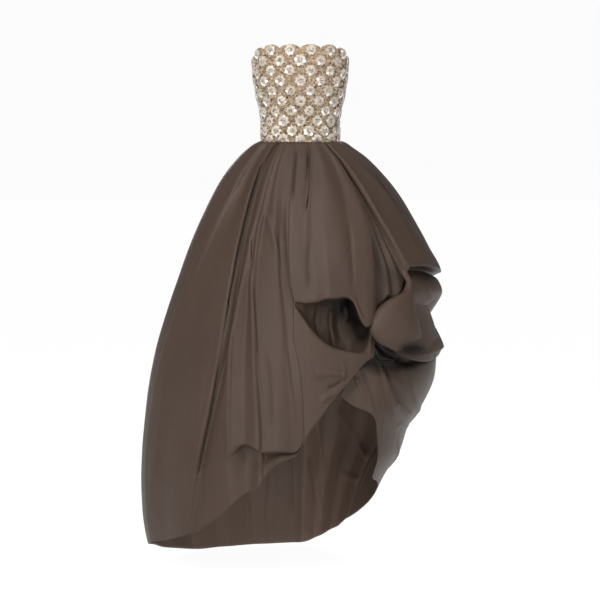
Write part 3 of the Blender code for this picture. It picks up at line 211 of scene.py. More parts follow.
# Folds of the side drape, from under the front panel round to the left back seam. The cloth
# is caught up in two bubbles, above and below mid, and then hangs to the rising hem.
SIDE_COLUMNS = (
    "name", "steps", "a_waist", "a_high", "a_hip", "a_lip", "a_rim", "a_fall", "a_hem",
    "l_waist", "l_high", "l_hip", "l_lip", "l_rim", "lip", "mid", "rim", "hem", "bubble")
SIDE_HEIGHTS = (0.0, -0.12, -0.30)
SIDE_FOLDS = (
    ("hidden_edge", 1, 25.0, 29.0, 30.0, 31.2, 30.4, 21.0, 18.0, -16, -12, -12, -12, -12,
     -0.440, -0.520, -0.600, -0.735, 0.0),
    ("pleat_start", 1, 30.0, 36.6, 37.0, 35.6, 33.5, 27.0, 26.0, -16, -12, -12, -12, -12,
     -0.456, -0.530, -0.620, -0.767, 0.1),
    ("pleat_one", 1, 32.0, 37.6, 39.4, 38.2, 37.0, 32.5, 34.0, -16, -10, -7, -6, -10,
     -0.442, -0.530, -0.630, -0.787, 0.4),
    ("pleat_one_dip", 1, 33.0, 38.3, 41.2, 41.0, 40.0, 37.0, 40.0, -16, -12, -13, -12, -11,
     -0.451, -0.530, -0.634, -0.815, 0.5),
    ("pleat_two", 1, 34.0, 39.1, 43.2, 44.2, 43.4, 41.0, 45.0, -16, -9, -6, -5, -10,
     -0.438, -0.530, -0.636, -0.860, 0.6),
    ("pleat_two_dip", 1, 35.0, 40.0, 45.0, 48.2, 47.4, 45.5, 50.0, -16, -13, -13, -12, -8,
     -0.404, -0.525, -0.634, -0.930, 0.7),
    ("side_edge", 1, 37.6, 41.8, 47.2, 51.4, 51.0, 50.0, 56.0, 2, 7, 8, 6, 0,
     -0.370, -0.520, -0.631, -0.988, 0.9),
    ("side_face", 2, 44.0, 48.0, 55.0, 60.0, 60.0, 61.0, 67.0, 1, 3, 3, 3, 1,
     -0.369, -0.520, -0.625, -1.005, 1.0),
    ("side_ridge", 2, 56.0, 62.0, 70.0, 76.0, 76.0, 78.0, 82.0, 4, 7, 7, 5, 2,
     -0.380, -0.520, -0.618, -1.035, 1.0),
    ("side_dip", 2, 70.0, 76.0, 84.0, 90.0, 90.0, 92.0, 96.0, 0, 0, 0, 1, 0,
     -0.392, -0.520, -0.612, -1.080, 1.0),
    ("back_ridge", 2, 94.0, 98.0, 102.0, 106.0, 106.0, 107.0, 109.0, 4, 6, 7, 6, 3,
     -0.405, -0.525, -0.618, -1.118, 0.65),
    ("left_back_seam", 0, 125.0, 125.0, 125.0, 125.0, 125.0, 125.0, 125.0, 0, 0, 0, 0, 0,
     -0.420, -0.540, -0.640, -1.160, 0.0),
)

# Hem of the back, and the pleats of each back panel.
BACK_HEM_COLUMNS = ("angle", "height")
BACK_HEM = ((125, -1.160), (150, -1.220), (180, -1.263), (221, -1.267), (243, -1.248), (262, -1.218))
BACK_COLUMNS = ("name", "start", "end", "pleats", "steps", "first_way")
BACK_PANELS = (
    ("skirt_back_left", LEFT_BACK_SEAM, CENTRE_BACK, 3, 4, -1.0),
    ("skirt_back_right", CENTRE_BACK, RIGHT_BACK_SEAM, 3, 4, 1.0),
    ("skirt_side_right", RIGHT_BACK_SEAM, RIGHT_SIDE_SEAM, 2, 4, 1.0),
)
PLEAT_COLUMNS = ("height", "lift")
PLEAT_LIFT = ((0.0, 4.0), (-0.06, 8.0), (-0.30, 9.0), (-0.80, 6.0), (-1.27, 3.0))
PLEAT_OVERTONE = 0.25

# Rows of every skirt panel above its lip, as parts of the way down to it, and how far each
# panel swells out there over the lip, in mm.
UPPER_COLUMNS = ("part", "right_lift", "left_lift", "side_lift")
UPPER_ROWS = (
    (0.000, 0, 0, 0),
    (0.012, 0, 0, 0),
    (0.036, 0, 0, 0),
    (0.075, 0, 0, 0),
    (0.140, 0, 0, 0),
    (0.220, 0, 0, 0),
    (0.310, 0, 0, 0),
    (0.410, 0, 0, 0),
    (0.520, 0, 0, 0),
    (0.630, 0, 3, 3),
    (0.750, 4, 8, 8),
    (0.870, 11, 15, 11),
    (0.960, 17, 20, 13),
)

# Rows below the lip of the front right panel. plain is the part of the way to the hem where
# the cloth hangs flat. Where it turns under, it lies at the part turned plus a step in metres.
RIGHT_LIP_COLUMNS = ("plain", "turned", "step", "lift")
RIGHT_LIP_ROWS = (
    (0.06, 0.00, 0.000, 23),
    (0.16, 0.00, -0.004, 16),
    (0.28, 0.00, 0.004, -11),
    (0.44, 0.25, 0.000, -19),
    (0.70, 0.62, 0.000, -8),
    (1.00, 1.00, 0.000, -2),
)

# Rows of the front left panel from the lip into the hollow and out to the cowl rim, in the
# same way. ease is how far the folds have moved to their places at the rim, and keep is how
# much of their depth is left.
LEFT_LIP_COLUMNS = ("plain", "turned", "step", "ease", "keep", "lift")
LEFT_LIP_ROWS = (
    (0.05, 0.00, 0.000, 0.00, 1.0, 24),
    (0.20, 0.00, -0.005, 0.04, 0.8, 14),
    (0.36, 0.00, 0.022, 0.14, 0.3, -44),
    (0.52, 0.55, 0.000, 0.50, 0.0, -92),
    (0.68, 1.00, -0.014, 0.85, 0.0, -64),
    (0.84, 1.00, -0.003, 0.96, 0.0, -16),
    (1.00, 1.00, 0.000, 1.00, 0.2, 5),
)
# Rows from the cowl rim to the hem: turned starts a little below the rim, plain at it.
LEFT_FALL_COLUMNS = ("plain", "turned", "lift")
LEFT_FALL_ROWS = (
    (0.25, 0.00, 12),
    (0.50, 0.34, 9),
    (0.75, 0.68, 6),
    (1.00, 1.00, 4),
)
LEFT_FALL_START = 0.012
# A fall shorter than this, in metres, hangs flat.
SHORT_FALL = 0.03
LEFT_LIP_HEIGHT = -0.60
# Part of the way down to the lip where the folds start to ease to their places at the lip.
NEAR_LIP = 0.5

# Rows of the side drape through its two bubbles. mid and rim are shares of those heights, the
# rest being the lip's, plus a step in metres, for cloth that hangs flat and for turned cloth.
SIDE_LIP_COLUMNS = (
    "plain_mid", "plain_rim", "plain_step", "mid", "rim", "step", "ease", "keep", "lift")
SIDE_LIP_ROWS = (
    (0.00, 0.00, 0.000, 0.00, 0.0, 0.000, 0.0, 1.0, 12),
    (0.20, 0.00, 0.000, 0.00, 0.0, 0.006, 0.0, 0.8, -20),
    (0.40, 0.00, 0.000, 0.00, 0.0, 0.002, 0.0, 0.7, -28),
    (0.60, 0.00, 0.000, 0.00, 0.0, -0.026, 0.1, 0.6, -2),
    (0.80, 0.00, 0.000, 0.45, 0.0, 0.000, 0.3, 0.4, 5),
    (1.00, 0.00, 0.000, 1.00, 0.0, 0.000, 0.5, 0.2, -44),
    (0.65, 0.35, 0.000, 0.60, 0.4, 0.000, 0.7, 0.0, -19),
    (0.30, 0.70, 0.000, 0.00, 1.0, 0.014, 0.9, 0.0, 0),
    (0.00, 1.00, 0.000, 0.00, 1.0, 0.000, 1.0, 0.0, 6),
    (0.00, 1.00, -0.012, 0.00, 1.0, 0.006, 1.0, 0.0, -26),
    (0.00, 1.00, -0.024, 0.00, 1.0, -0.016, 1.0, 0.0, -22),
    (0.00, 1.00, -0.036, 0.00, 1.0, -0.032, 1.0, 0.0, -8),
)
# Rows below it, as parts of the way to the hem, and how far the folds have moved to their
# places in the fall and at the hem.
SIDE_FALL_COLUMNS = ("part", "to_fall", "to_hem")
SIDE_FALL_ROWS = (
    (0.16, 0.35, 0.00),
    (0.34, 0.80, 0.00),
    (0.52, 1.00, 0.00),
    (0.70, 1.00, 0.35),
    (0.86, 1.00, 0.70),
    (1.00, 1.00, 1.00),
)
SIDE_LIP_HEIGHT = -0.42
# The fall is drawn in, in mm, where it lies behind the cowl of the front left panel.
UNDER_COWL_ANGLE = 34.0
UNDER_COWL_SPREAD = 12.0
UNDER_COWL_DEPTH = 26.0

# Rolled puff: one row for each section down it, with its front edge, its fold and its back edge.
SCROLL_COLUMNS = (
    "a_front", "z_front", "l_front", "a_fold", "z_fold", "l_fold", "a_back", "z_back", "l_back",
    "bulge", "arch", "sag")
SCROLL_SECTIONS = (
    (50.2, -0.401, 14, 48.4, -0.406, 10, 52.8, -0.410, 0, 2, 0.000, 0.000),
    (48.9, -0.426, 20, 44.6, -0.438, 12, 59.7, -0.433, -8, 9, 0.000, 0.002),
    (47.7, -0.456, 25, 35.2, -0.466, 13, 64.5, -0.462, -16, 19, 0.000, 0.004),
    (48.0, -0.497, 29, 29.4, -0.503, 14, 72.4, -0.500, -20, 27, 0.000, 0.006),
    (48.9, -0.532, 32, 27.4, -0.543, 16, 76.6, -0.538, -16, 30, 0.002, 0.008),
    (49.8, -0.560, 34, 30.0, -0.579, 20, 79.4, -0.577, -8, 26, 0.004, 0.016),
    (50.0, -0.577, 36, 38.6, -0.612, 26, 87.7, -0.611, 0, 16, 0.006, 0.036),
)
SCROLL_STEPS = 61

# Fine columns for each step of the fold tables, one number for each panel.
PER_STEP = {"right": 8, "left": 7, "side": 8, "back": 8}
LEAST_ROWS = 3

# Views that creases are placed in: the camera's own view of outward and of inward faces, and a
# plain view of the left. Each has the way that the faces it shows are turned.
VIEW_STEP = 3.0 * MM
VIEW_MIDDLE = (300.3, 300.0)
SIDE_MIDDLE = (300.0, 143.6)
VIEWS = {
    "front": (0.0, -1.0, 0.0),
    "inside": (0.0, 1.0, 0.0),
    "left": (1.0, 0.0, 0.0),
}
# A face counts in a view, from 0 to 1, by how far its normal goes the view's way, times the
# gain, plus the start. A crease is made of straight runs and fades over a part at each end, and
# it comes in over some coarse rows.
FACING_GAIN = 3.0
FACING_START = 0.6
CREASE_RUNS = 12
CREASE_FADE = 0.25
ROW_FADE = 0.7

# Creases of each panel in each view, in mm: a ridge, or a trough where the depth is below zero.
# Places are in steps of 3 mm, across and down, as the view shows them. The widths are for the
# side left of a downward crease or below one that runs across, and for the other side. A crease
# is only on the rows of its panel's table from first to last.
CREASE_COLUMNS = (
    "x_start", "y_start", "x_middle", "y_middle", "x_end", "y_end",
    "depth", "width_left", "width_right", "first", "last")
CREASES = {
    ("skirt_front_right", "front"): (
        (257, 152, 221, 215, 170, 335, 3.0, 16, 5, 0, 12),
        (268, 146, 241, 238, 218, 370, -10.0, 1.5, 8, 0, 13),
        (265, 148, 238, 238, 215, 370, 2.5, 16, 3, 0, 13),
        (222, 335, 210, 415, 192, 505, -4.5, 2, 12, 2, 14),
        (226, 300, 207, 420, 183, 500, 3.0, 16, 3, 3, 14),
        (234, 300, 229, 410, 231, 508, 4.5, 9, 3, 2, 14),
        (250, 216, 254, 318, 268, 442, 4.0, 10, 3, 1, 13),
        (254, 262, 268, 218, 289, 330, 3.5, 9, 6, 0, 12),
        (284, 196, 287, 262, 295, 335, -6.0, 8, 2, 0, 12),
        (225, 458, 211, 480, 193, 504, 4.0, 5, 8, 4, 13),
        (147, 522, 155, 528, 162, 537, 4.0, 3, 6, 4, 13),
        (168, 360, 160, 430, 150, 500, 4.0, 18, 10, 3, 14),
        (208, 340, 196, 430, 178, 520, 3.0, 14, 8, 2, 14),
        (262, 340, 269, 390, 268, 440, -3.5, 3, 8, 3, 13),
        (286, 345, 291, 390, 297, 430, 3.0, 8, 4, 3, 13),
    ),
    ("skirt_front_left", "front"): (
        (309.5, 141, 309.5, 180, 306, 217, -10.0, 7, 1.2, 0, 12),
        (296, 142, 294, 172, 291, 206, -7.0, 1.5, 5, 0, 12),
        (311, 238, 309, 266, 312, 292, -3.5, 8, 8, 0, 13),
        (318, 150, 338, 215, 340, 286, 5.0, 26, 22, 0, 13),
        (348, 215, 352, 260, 352, 296, -3.0, 8, 8, 4, 14),
        (312, 300, 328, 297, 347, 301, 3.0, 4, 5, 10, 14),
        (331, 306, 329, 328, 335, 352, 18.0, 3, 16, 14, 18),
        (345, 302, 345, 312, 349, 322, -16.0, 9, 9, 14, 17),
        (318, 306, 316, 322, 321, 338, -6.0, 5, 5, 14, 18),
        (304, 322, 318, 342, 344, 356, 3.0, 4, 5, 18, 21),
        (308, 378, 326, 374, 350, 378, 8.0, 3, 7, 19, 23),
        (326, 388, 336, 385, 350, 374, -6.0, 4, 5, 19, 23),
        (320, 404, 330, 396, 342, 392, 8.0, 3, 7, 19, 23),
        (312, 366, 318, 376, 330, 380, -4.0, 4, 4, 19, 23),
        (340, 360, 344, 372, 340, 388, 4.0, 4, 6, 19, 23),
        (352, 299, 358, 310, 365, 327, 3.0, 2, 5, 10, 14),
    ),
    ("side_drape", "front"): (
        (345, 182, 362, 228, 379, 298, -4.5, 2, 6, 0, 13),
        (346, 182, 367, 230, 387, 296, -3.0, 2.5, 4, 0, 13),
        (336, 155, 371, 207, 406, 266, 2.5, 2, 12, 0, 12),
        (351, 152, 402, 210, 440, 274, -5.5, 2, 10, 0, 12),
        (349, 153, 399, 211, 436, 274, 2.0, 10, 2, 0, 12),
        (424, 286, 428, 292, 434, 303, 4.0, 4, 6, 14, 18),
        (418, 312, 428, 306, 438, 296, -4.0, 4, 6, 14, 18),
        (372, 336, 388, 354, 418, 366, -9.0, 7, 7, 18, 23),
        (368, 338, 381, 368, 396, 432, 7.0, 4, 14, 20, 30),
        (376, 350, 394, 388, 410, 426, -5.0, 9, 9, 22, 30),
        (393, 404, 404, 408, 415, 418, 5.0, 3, 5, 22, 30),
        (396, 428, 402, 424, 410, 428, 4.0, 3, 5, 22, 30),
        (352, 374, 360, 388, 366, 404, 5.0, 4, 7, 22, 30),
        (358, 366, 370, 390, 376, 414, -4.0, 5, 5, 22, 30),
        (408, 376, 415, 398, 420, 420, 4.0, 8, 8, 22, 30),
    ),
    ("side_drape", "left"): (
        (306, 158, 318, 225, 330, 268, 4.0, 14, 8, 0, 12),
        (330, 166, 356, 235, 366, 290, -4.0, 7, 10, 0, 12),
        (282, 162, 262, 210, 250, 258, -3.5, 6, 9, 0, 12),
        (262, 400, 320, 428, 380, 436, 5.0, 10, 14, 22, 30),
        (300, 392, 352, 402, 400, 388, -5.0, 8, 12, 22, 30),
        (240, 432, 300, 466, 370, 486, 4.5, 12, 12, 22, 30),
        (385, 410, 392, 462, 398, 520, -4.0, 8, 8, 20, 30),
    ),
    ("side_puff", "inside"): (
        (400, 345, 401, 357, 412, 360, -4.0, 2, 2, 3, 7),
        (409, 360, 421, 358, 431, 348, -3.0, 2, 2, 3, 7),
    ),
    ("side_puff", "front"): (
        (394, 336, 408, 326, 421, 313, 3.0, 3, 7, 1, 6),
    ),
    ("skirt_back_right", "inside"): (
        (290, 440, 290, 490, 291, 524, -6.0, 3, 8, 0, 12),
        (248, 498, 248, 520, 249, 543, -2.5, 2, 4, 0, 12),
        (272, 470, 268, 505, 266, 545, 4.5, 9, 9, 0, 12),
    ),
    ("skirt_back_left", "inside"): (
        (309, 456, 317, 488, 323, 526, -7.0, 10, 8, 0, 12),
        (318, 420, 320, 442, 326, 470, 5.0, 5, 6, 0, 12),
        (335, 404, 354, 436, 374, 472, -7.0, 4, 10, 0, 12),
        (340, 470, 356, 480, 376, 484, -4.0, 10, 10, 0, 12),
    ),
}

# Painted shade where least light reaches the cloth, deep in its folds: bells about points of a
# view, with their half widths and heights in 3 mm steps and how much of the tone they darken.
# The rows are grouped and limited as for creases.
SHADE_COLUMNS = ("x", "y", "wide", "high", "share", "first", "last")
SHADES = {
    ("skirt_front_left", "front"): (
        (350, 311, 15, 13, 1.5, 14, 18),
        (362, 329, 9, 14, 1.6, 14, 18),
        (330, 303, 22, 5, 0.7, 14, 18),
    ),
    ("side_drape", "front"): (
        (372, 322, 7, 26, 0.9, 12, 30),
        (366, 352, 6, 18, 0.5, 12, 30),
        (384, 357, 18, 9, 1.0, 16, 30),
        (379, 350, 12, 19, 1.2, 12, 30),
        (408, 366, 22, 7, 0.8, 16, 30),
        (375, 270, 9, 40, 0.35, 0, 13),
        (394, 277, 12, 14, 0.45, 0, 13),
        (428, 277, 16, 6, 1.0, 13, 18),
        (414, 352, 9, 5, 1.6, 13, 30),
    ),
    ("side_puff", "inside"): (
        (413, 349, 11, 5.5, 2.2, 3, 6),
    ),
    ("side_puff", "front"): (
        (414, 350, 10, 4.5, 2.0, 5, 6),
        (374, 318, 7, 14, 0.4, 0, 6),
    ),
}

# Painted shade in troughs: a trough of this depth in mm loses this much of its tone to it, but for
# the panels named. All painted shade darkens the cloth towards SHADE_COLOUR.
TROUGH_DEPTH = 8.0
TROUGH_SHADE_SHARE = 0.85
NO_TROUGH_SHADE = ("skirt_back_left", "skirt_back_right", "skirt_side_right")
SHADE_COLOUR = (0.006, 0.004, 0.003, 1.0)

# Painted light: how much lighter the inside of a panel is painted, for light that reaches it
# there, and the tint of that painted light.
INSIDE_PAINTED_LIGHT = {
    "skirt_back_left": 2.8,
    "side_drape": 2.7,
    "skirt_back_right": 2.1,
    "skirt_side_right": 1.7,
}
INSIDE_PAINTED_LIGHT_TINT = (1.0, 1.04, 1.10)

# Seams: their depth in mm, and how many columns beside them are eased along.
SEAM_DITCH = 1.2
SEAM_SPREAD = 3.0
# Length of cloth below the waist over which lifts come in.
WAIST_EASE = 0.012

# Crumple of the cloth: the sizes of its wide and fine cells across and down, in metres.
NOISE_CELLS = 96
WIDE_CELLS = (0.075, 0.14)
FINE_CELLS = (0.035, 0.06)
FINE_SHARE = 0.5
SKIRT_SEEDS = {
    "skirt_front_right": 11,
    "skirt_front_left": 21,
    "side_drape": 31,
    "side_puff": 41,
    "skirt_back_left": 51,
    "skirt_back_right": 61,
    "skirt_side_right": 71,
}

# The beaded bodice: its ground, and the scallops of its top edge.
BODICE_ROUND = 0.80
BODICE_HEIGHT = 0.31
# For small moves round the bodice: its rough radius, and the degrees in a radian.
BODICE_RADIUS = 0.12
DEGREES = 57.3
BODICE_ACROSS = 16
BODICE_DOWN = 60
BODICE_TUCK = -0.4 * MM
NET_OUT = -0.6 * MM
FRAME_STEP = 0.05
SCALLOP_RISE = 0.0172
SCALLOP_HALF = 0.0302

# Petals. Widest and half are parts of a petal's length, start is a part of the ring's radius,
# and the rise is a sine from one part of half a turn and over another. A petal whose reach, in
# lengths, goes below the floor is left out.
PETAL_ROWS = 5
PETAL_COLUMNS = 5
PETAL_WIDEST = 0.62
PETAL_HALF = 0.41
PETAL_START = 0.55
PETAL_ROUND = 0.10
PETAL_RISE = 3.4 * MM
PETAL_RISE_FROM = 0.15
PETAL_RISE_OVER = 0.70
PETAL_CUP = 1.7 * MM
PETAL_TILT = 0.10
PETAL_NECK = 0.12
PETAL_EDGE = 0.22
PETAL_THICKNESS = 0.5 * MM
PETAL_REACH = 1.3
PETAL_FLOOR = 0.004
# Light end of the petal colours: the pearly shell of the edges, and the colour of painted highlights.
SHELL_AND_HIGHLIGHT = (0.90, 0.88, 0.83, 1.0)

# Flowers: how they stand and differ, and the painted highlight on some petals, more often on those
# pointing down, with a small raise for those at the waist.
FLOWER_STAND = 0.9 * MM
FLOWER_JITTER = 0.5 * MM
FLOWER_SPREAD = 0.05
FLOWER_TONE = 0.22
PETAL_TONE_SPREAD = 0.08
LOW_FLOWER = 0.008
LOW_RAISE = 0.005
PAINTED_HIGHLIGHT_SHARE = 0.17
PAINTED_HIGHLIGHT_LOWER = 0.24
PAINTED_HIGHLIGHT_TONES = (0.45, 0.95)

# Beads in the flowers. Sizes are in radii of a ground bead.
RING_BEADS = 10
RING_STAND = 3.4 * MM
INNER_RING = 0.50
MIDDLE_STAND = 1.15
RING_FLOOR = 0.002
RING_BEAD = 1.35
RING_BEAD_SPREAD = 0.16
SMOKE = (0.15, 0.12, 0.095, 1.0)
SILVER = (0.74, 0.72, 0.68, 1.0)

# Beads of the ground, clear of the zip by some degrees. Rows are closer than beads in a row, and
# first ones stand a little in. Least and most are in radii, and tones go from dark to light.
ZIP_CLEAR = 4.2
ROW_CLOSE = 0.87
FIRST_COLUMN = 0.25
FIRST_ROW = 0.6
SHAKE_ROUND = 0.16
SHAKE_DOWN = 0.0004
TOP_CLEAR = 0.0015
BEAD_OUT = 0.6 * MM
UNDER_PETALS = 0.0125
BEAD_SPREAD = 0.22
BEAD_LEAST = 0.6
BEAD_MOST = 1.6
BEAD_PATCH = 0.0065
BEAD_TONE = 0.38
PATCH_TONE = 0.3
BEAD_TONE_SPREAD = 0.36
BRONZE = (0.030, 0.017, 0.008, 1.0)
NUDE = (0.92, 0.80, 0.62, 1.0)
FLOWER_SEED = 100
BEAD_SEED = 200
PATCH_SEED = 7
EDGE_SEED = 300

# Rows of beads along the edges, and the teeth of the zip.
EDGE_BEADS = 260
EDGE_BEAD_SPREAD = 0.1
EDGE_TONES = (0.2, 1.0)
WAIST_BEAD_HEIGHT = 0.0022
WAIST_BEAD_OUT = 1.0 * MM
WAIST_BEAD = 1.7 * MM
TOP_BEAD_DROP = 0.5 * MM
TOP_BEAD_OUT = -0.2 * MM
TOP_BEAD = 1.2 * MM
TOOTH_PITCH = 1.7 * MM
TOOTH_OFFSET = 0.55 * MM
TOOTH_OUT = 0.2 * MM
TOOTH_SIZE = (1.2 * MM, 0.8 * MM, 0.55 * MM)
TOOTH_TONE = 0.5

# Ribs of the taffeta and of the net in metres, the share of the ribs across, how slubs are
# stretched and count, and how dark the net goes.
TAFFETA_RIB = 0.0011
NET_RIB = 0.0016
CROSS_RIB = 0.35
SLUB_STRETCH = (220.0, 9.0, 1.0)
SLUB_SHARE = 0.6
NET_DARK = 0.55
# Spans of values: all of them, and what a noise mostly keeps to.
WHOLE = (0.0, 1.0)
NOISE_SPAN = (0.3, 0.7)
# Dark and light tones of the zip's metal and of its tape.
BRASS_TONES = ((0.16, 0.115, 0.07, 1.0), (0.42, 0.33, 0.22, 1.0))
TAPE_TONES = ((0.060, 0.047, 0.038, 1.0), (0.115, 0.092, 0.076, 1.0))

# Stage and camera.
STAGE_SIDES = 97
STAGE_RADII = (0.0, 3.0, 8.0, 14.0, 40.0)
FLOOR_GAP = 0.004
SENSOR = 36.0
LENS = 240.0
CAMERA_SHIFT = -0.0005
CAMERA_TILT = radians(3.0)
CAMERA_DISTANCE = 12.0
AIM_HEIGHT = -0.474
CAMERA_SIGHT = 200.0
GOWN_MIDDLE = (0.0, 0.0, -0.5)
GOWN_FOOT = (0.1, 0.0, -1.1)
# Soft lights: the setting that has the power, the place, what it is turned to and the size.
LIGHTS = (
    ("key", (-4.0, -5.6, 2.2), GOWN_MIDDLE, (2.4, 2.4)),
    ("fill", (4.6, -4.6, 1.2), GOWN_MIDDLE, (1.6, 2.4)),
    ("top", (-0.5, -2.2, 4.2), GOWN_MIDDLE, (2.0, 2.0)),
    ("low", (0.8, -5.5, -0.95), GOWN_FOOT, (3.4, 0.5)),
    ("back", (-0.6, 6.4, 1.0), GOWN_MIDDLE, (2.4, 2.4)),
)
WHITE = (1.0, 1.0, 1.0, 1.0)


def table(columns, rows):
    """Turn a table with named columns into one array for each column."""
    return {name: np.array([row[i] for row in rows]) for i, name in enumerate(columns)}


def curve(x, xs, ys):
    """Read a smooth curve through (xs, ys) at x, without overshoot between its points."""
    xs = np.asarray(xs, float)
    ys = np.asarray(ys, float)
    if xs[0] > xs[-1]:
        xs = xs[::-1]
        ys = ys[::-1]
    x = np.clip(np.asarray(x, float), xs[0], xs[-1])
    step = np.diff(xs)
    slope = (np.diff(ys, axis=0).T / step).T
    tangent = np.zeros_like(ys)
    tangent[0] = slope[0]
    tangent[-1] = slope[-1]
    before, after = slope[:-1], slope[1:]
    same = before * after > 0
    total = np.where(same, before + after, 1.0)
    tangent[1:-1] = np.where(same, 2.0 * before * after / total, 0.0)
    i = np.clip(np.searchsorted(xs, x, side="right") - 1, 0, len(xs) - 2)
    t = (x - xs[i]) / step[i]
    h = step[i]
    if ys.ndim > 1:
        t = t[..., None]
        h = h[..., None]
    return (ys[i] * (2 * t**3 - 3 * t**2 + 1) + ys[i + 1] * (3 * t**2 - 2 * t**3)
            + tangent[i] * h * (t**3 - 2 * t**2 + t) + tangent[i + 1] * h * (t**3 - t**2))


SKIRT = table(SKIRT_COLUMNS, SKIRT_SECTIONS)
BODICE = table(BODICE_COLUMNS, BODICE_SECTIONS)


def section(angle, across_minus, across_plus, front, back):
    """Give the point and outward normal on a section made of four quarter ellipses."""
    turn = np.radians(angle)
    across = np.where(np.sin(turn) > 0, across_plus, across_minus)
    along = np.where(np.cos(turn) > 0, front, back)
    x = across * np.sin(turn)
    y = -along * np.cos(turn)
    normal = np.stack([np.sin(turn) / across, -np.cos(turn) / along], -1)
    normal /= np.linalg.norm(normal, axis=-1, keepdims=True)
    return x, y, normal


def reach_at(height):
    """Give how far the skirt's outer form reaches to each side at a height."""
    return [curve(height, SKIRT["height"], SKIRT[name]) for name in SKIRT_COLUMNS[1:]]


def skirt_normal(angle, height):
    """Give the level outward normal of the skirt's outer form."""
    normal = section(angle, *reach_at(height))[2]
    return np.concatenate([normal, np.zeros(normal.shape[:-1] + (1,))], -1)


def skirt_point(angle, height, lift=0.0):
    """Give the point at an angle and height on the skirt's outer form, lifted by lift mm.

    A lift is square to the form, but level along the waist seam, where the cloth starts.
    """
    x, y, _ = section(angle, *reach_at(height))
    spread = np.mean([low - high for low, high in zip(
        reach_at(height - SLOPE_STEP), reach_at(height + SLOPE_STEP))], axis=0)
    rise = np.where(height < WAIST_TOP - MM, spread / (2 * SLOPE_STEP), 0.0)
    way = skirt_normal(angle, height)
    way[..., 2] = np.maximum(rise, 0.0)
    flat = np.stack([x, y, np.broadcast_to(height, np.shape(x))], -1)
    return flat + unit(way) * np.asarray(lift)[..., None] * MM


def bodice_point(angle, height, out=0.0):
    """Give the point at an angle and height on the bodice's outer form, moved out by out."""
    side, front, back = (curve(height, BODICE["height"], BODICE[n]) for n in BODICE_COLUMNS[1:])
    x, y, normal = section(angle, side, side, front, back)
    return np.stack([x + out * normal[..., 0], y + out * normal[..., 1],
                     np.broadcast_to(height, np.shape(x))], -1)


def seam_angle(height):
    """Give the angle of the centre front seam at a height."""
    seam = table(SEAM_COLUMNS, FRONT_SEAM)
    return curve(height, seam["height"], seam["angle"])


def back_hem(angle):
    """Give the height of the back hem at an angle."""
    hem = table(BACK_HEM_COLUMNS, BACK_HEM)
    return curve(angle, hem["angle"], hem["height"])


def unit(vectors):
    """Give vectors of length one."""
    return vectors / np.maximum(np.linalg.norm(vectors, axis=-1, keepdims=True), 1e-12)


def directions(points):
    """Give the direction of a line of points at each point, halfway between its two runs."""
    runs = unit(np.diff(points, axis=0))
    return unit(np.concatenate([runs[:1], runs[:-1] + runs[1:], runs[-1:]]))


def grid_normals(points):
    """Give the outward normals of a grid of points, rows running down and columns round."""
    down = directions(points)
    across = np.swapaxes(directions(np.swapaxes(points, 0, 1)), 0, 1)
    return unit(np.cross(down, across))


def blend(first, second, share):
    """Mix two values: a share of the second, and of the first the rest."""
    return first * (1 - share) + second * share


def smooth(part):
    """Ease a part from 0 to 1 so that it starts and ends level."""
    return part * part * (3 - 2 * part)


def columns_down(columns, rows):
    """Turn a table of rows of a panel into upright columns of values, to spread over a grid."""
    return {name: values[:, None] for name, values in table(columns, rows).items()}


def shared(lip, mid, rim, mid_share, rim_share):
    """Mix three heights by shares, with the rest going to the lip."""
    return lip * (1 - mid_share - rim_share) + mid * mid_share + rim * rim_share


def fold_lines(folds, places, *names):
    """Read columns of a fold table at places between its folds."""
    return [curve(places, np.arange(len(folds[name])), folds[name]) for name in names]


def fold_fields(folds, places, heights, rows_at, angle_names, lift_names):
    """Give the angle and the lift at each grid point, from a fold table's columns by height.

    heights is a grid of the heights of the points, one column for each place. The named columns
    stand at the heights rows_at.
    """
    fields = []
    for prefix, names in (("a_", angle_names), ("l_", lift_names)):
        values = np.column_stack([folds[prefix + name] for name in names])
        field = np.empty_like(heights)
        for j, place in enumerate(places):
            by_fold = np.array([curve(heights[:, j], rows_at, line) for line in values])
            field[:, j] = curve(np.full(1, place), np.arange(len(values)), by_fold)[0]
        fields.append(field)
    return fields


def neckline(angle):
    """Give the height of the top edge at an angle, as a part of the bodice's height."""
    data = table(NECKLINE_COLUMNS, NECKLINE)
    folded = np.abs((np.asarray(angle) + 180.0) % 360.0 - 180.0)
    return curve(folded, data["angle"], data["top"])


def fine_places(steps, panel):
    """Give fold positions for fine columns: so many of them for each step of the fold table."""
    fine = steps[:-1].astype(int) * PER_STEP[panel]
    runs = [fold + np.arange(count) / count for fold, count in enumerate(fine)]
    return np.concatenate(runs + [[len(steps) - 1.0]])


def right_fields():
    """Give the angle, height and lift of each row and column of the front right panel.

    Heights are parts of the way to the lip and, below it, a mix of hanging and turned rows.
    """
    folds = table(RIGHT_COLUMNS, RIGHT_FOLDS)
    over = columns_down(UPPER_COLUMNS, UPPER_ROWS)
    under = columns_down(RIGHT_LIP_COLUMNS, RIGHT_LIP_ROWS)
    places = fine_places(folds["steps"], "right")
    lip, hem, roll = fold_lines(folds, places, "lip", "hem", "roll")
    plain = blend(lip, hem, under["plain"])
    turned = blend(lip, hem, under["turned"]) + under["step"]
    heights = np.vstack([over["part"] * lip, blend(plain, turned, roll)])
    names = ("waist", "high", "hip", "thigh", "knee", "hem")
    angles, lifts = fold_fields(folds, places, heights, RIGHT_HEIGHTS, names, names)
    swell = np.concatenate([over["right_lift"], under["lift"]])
    return angles, heights, lifts + swell * roll


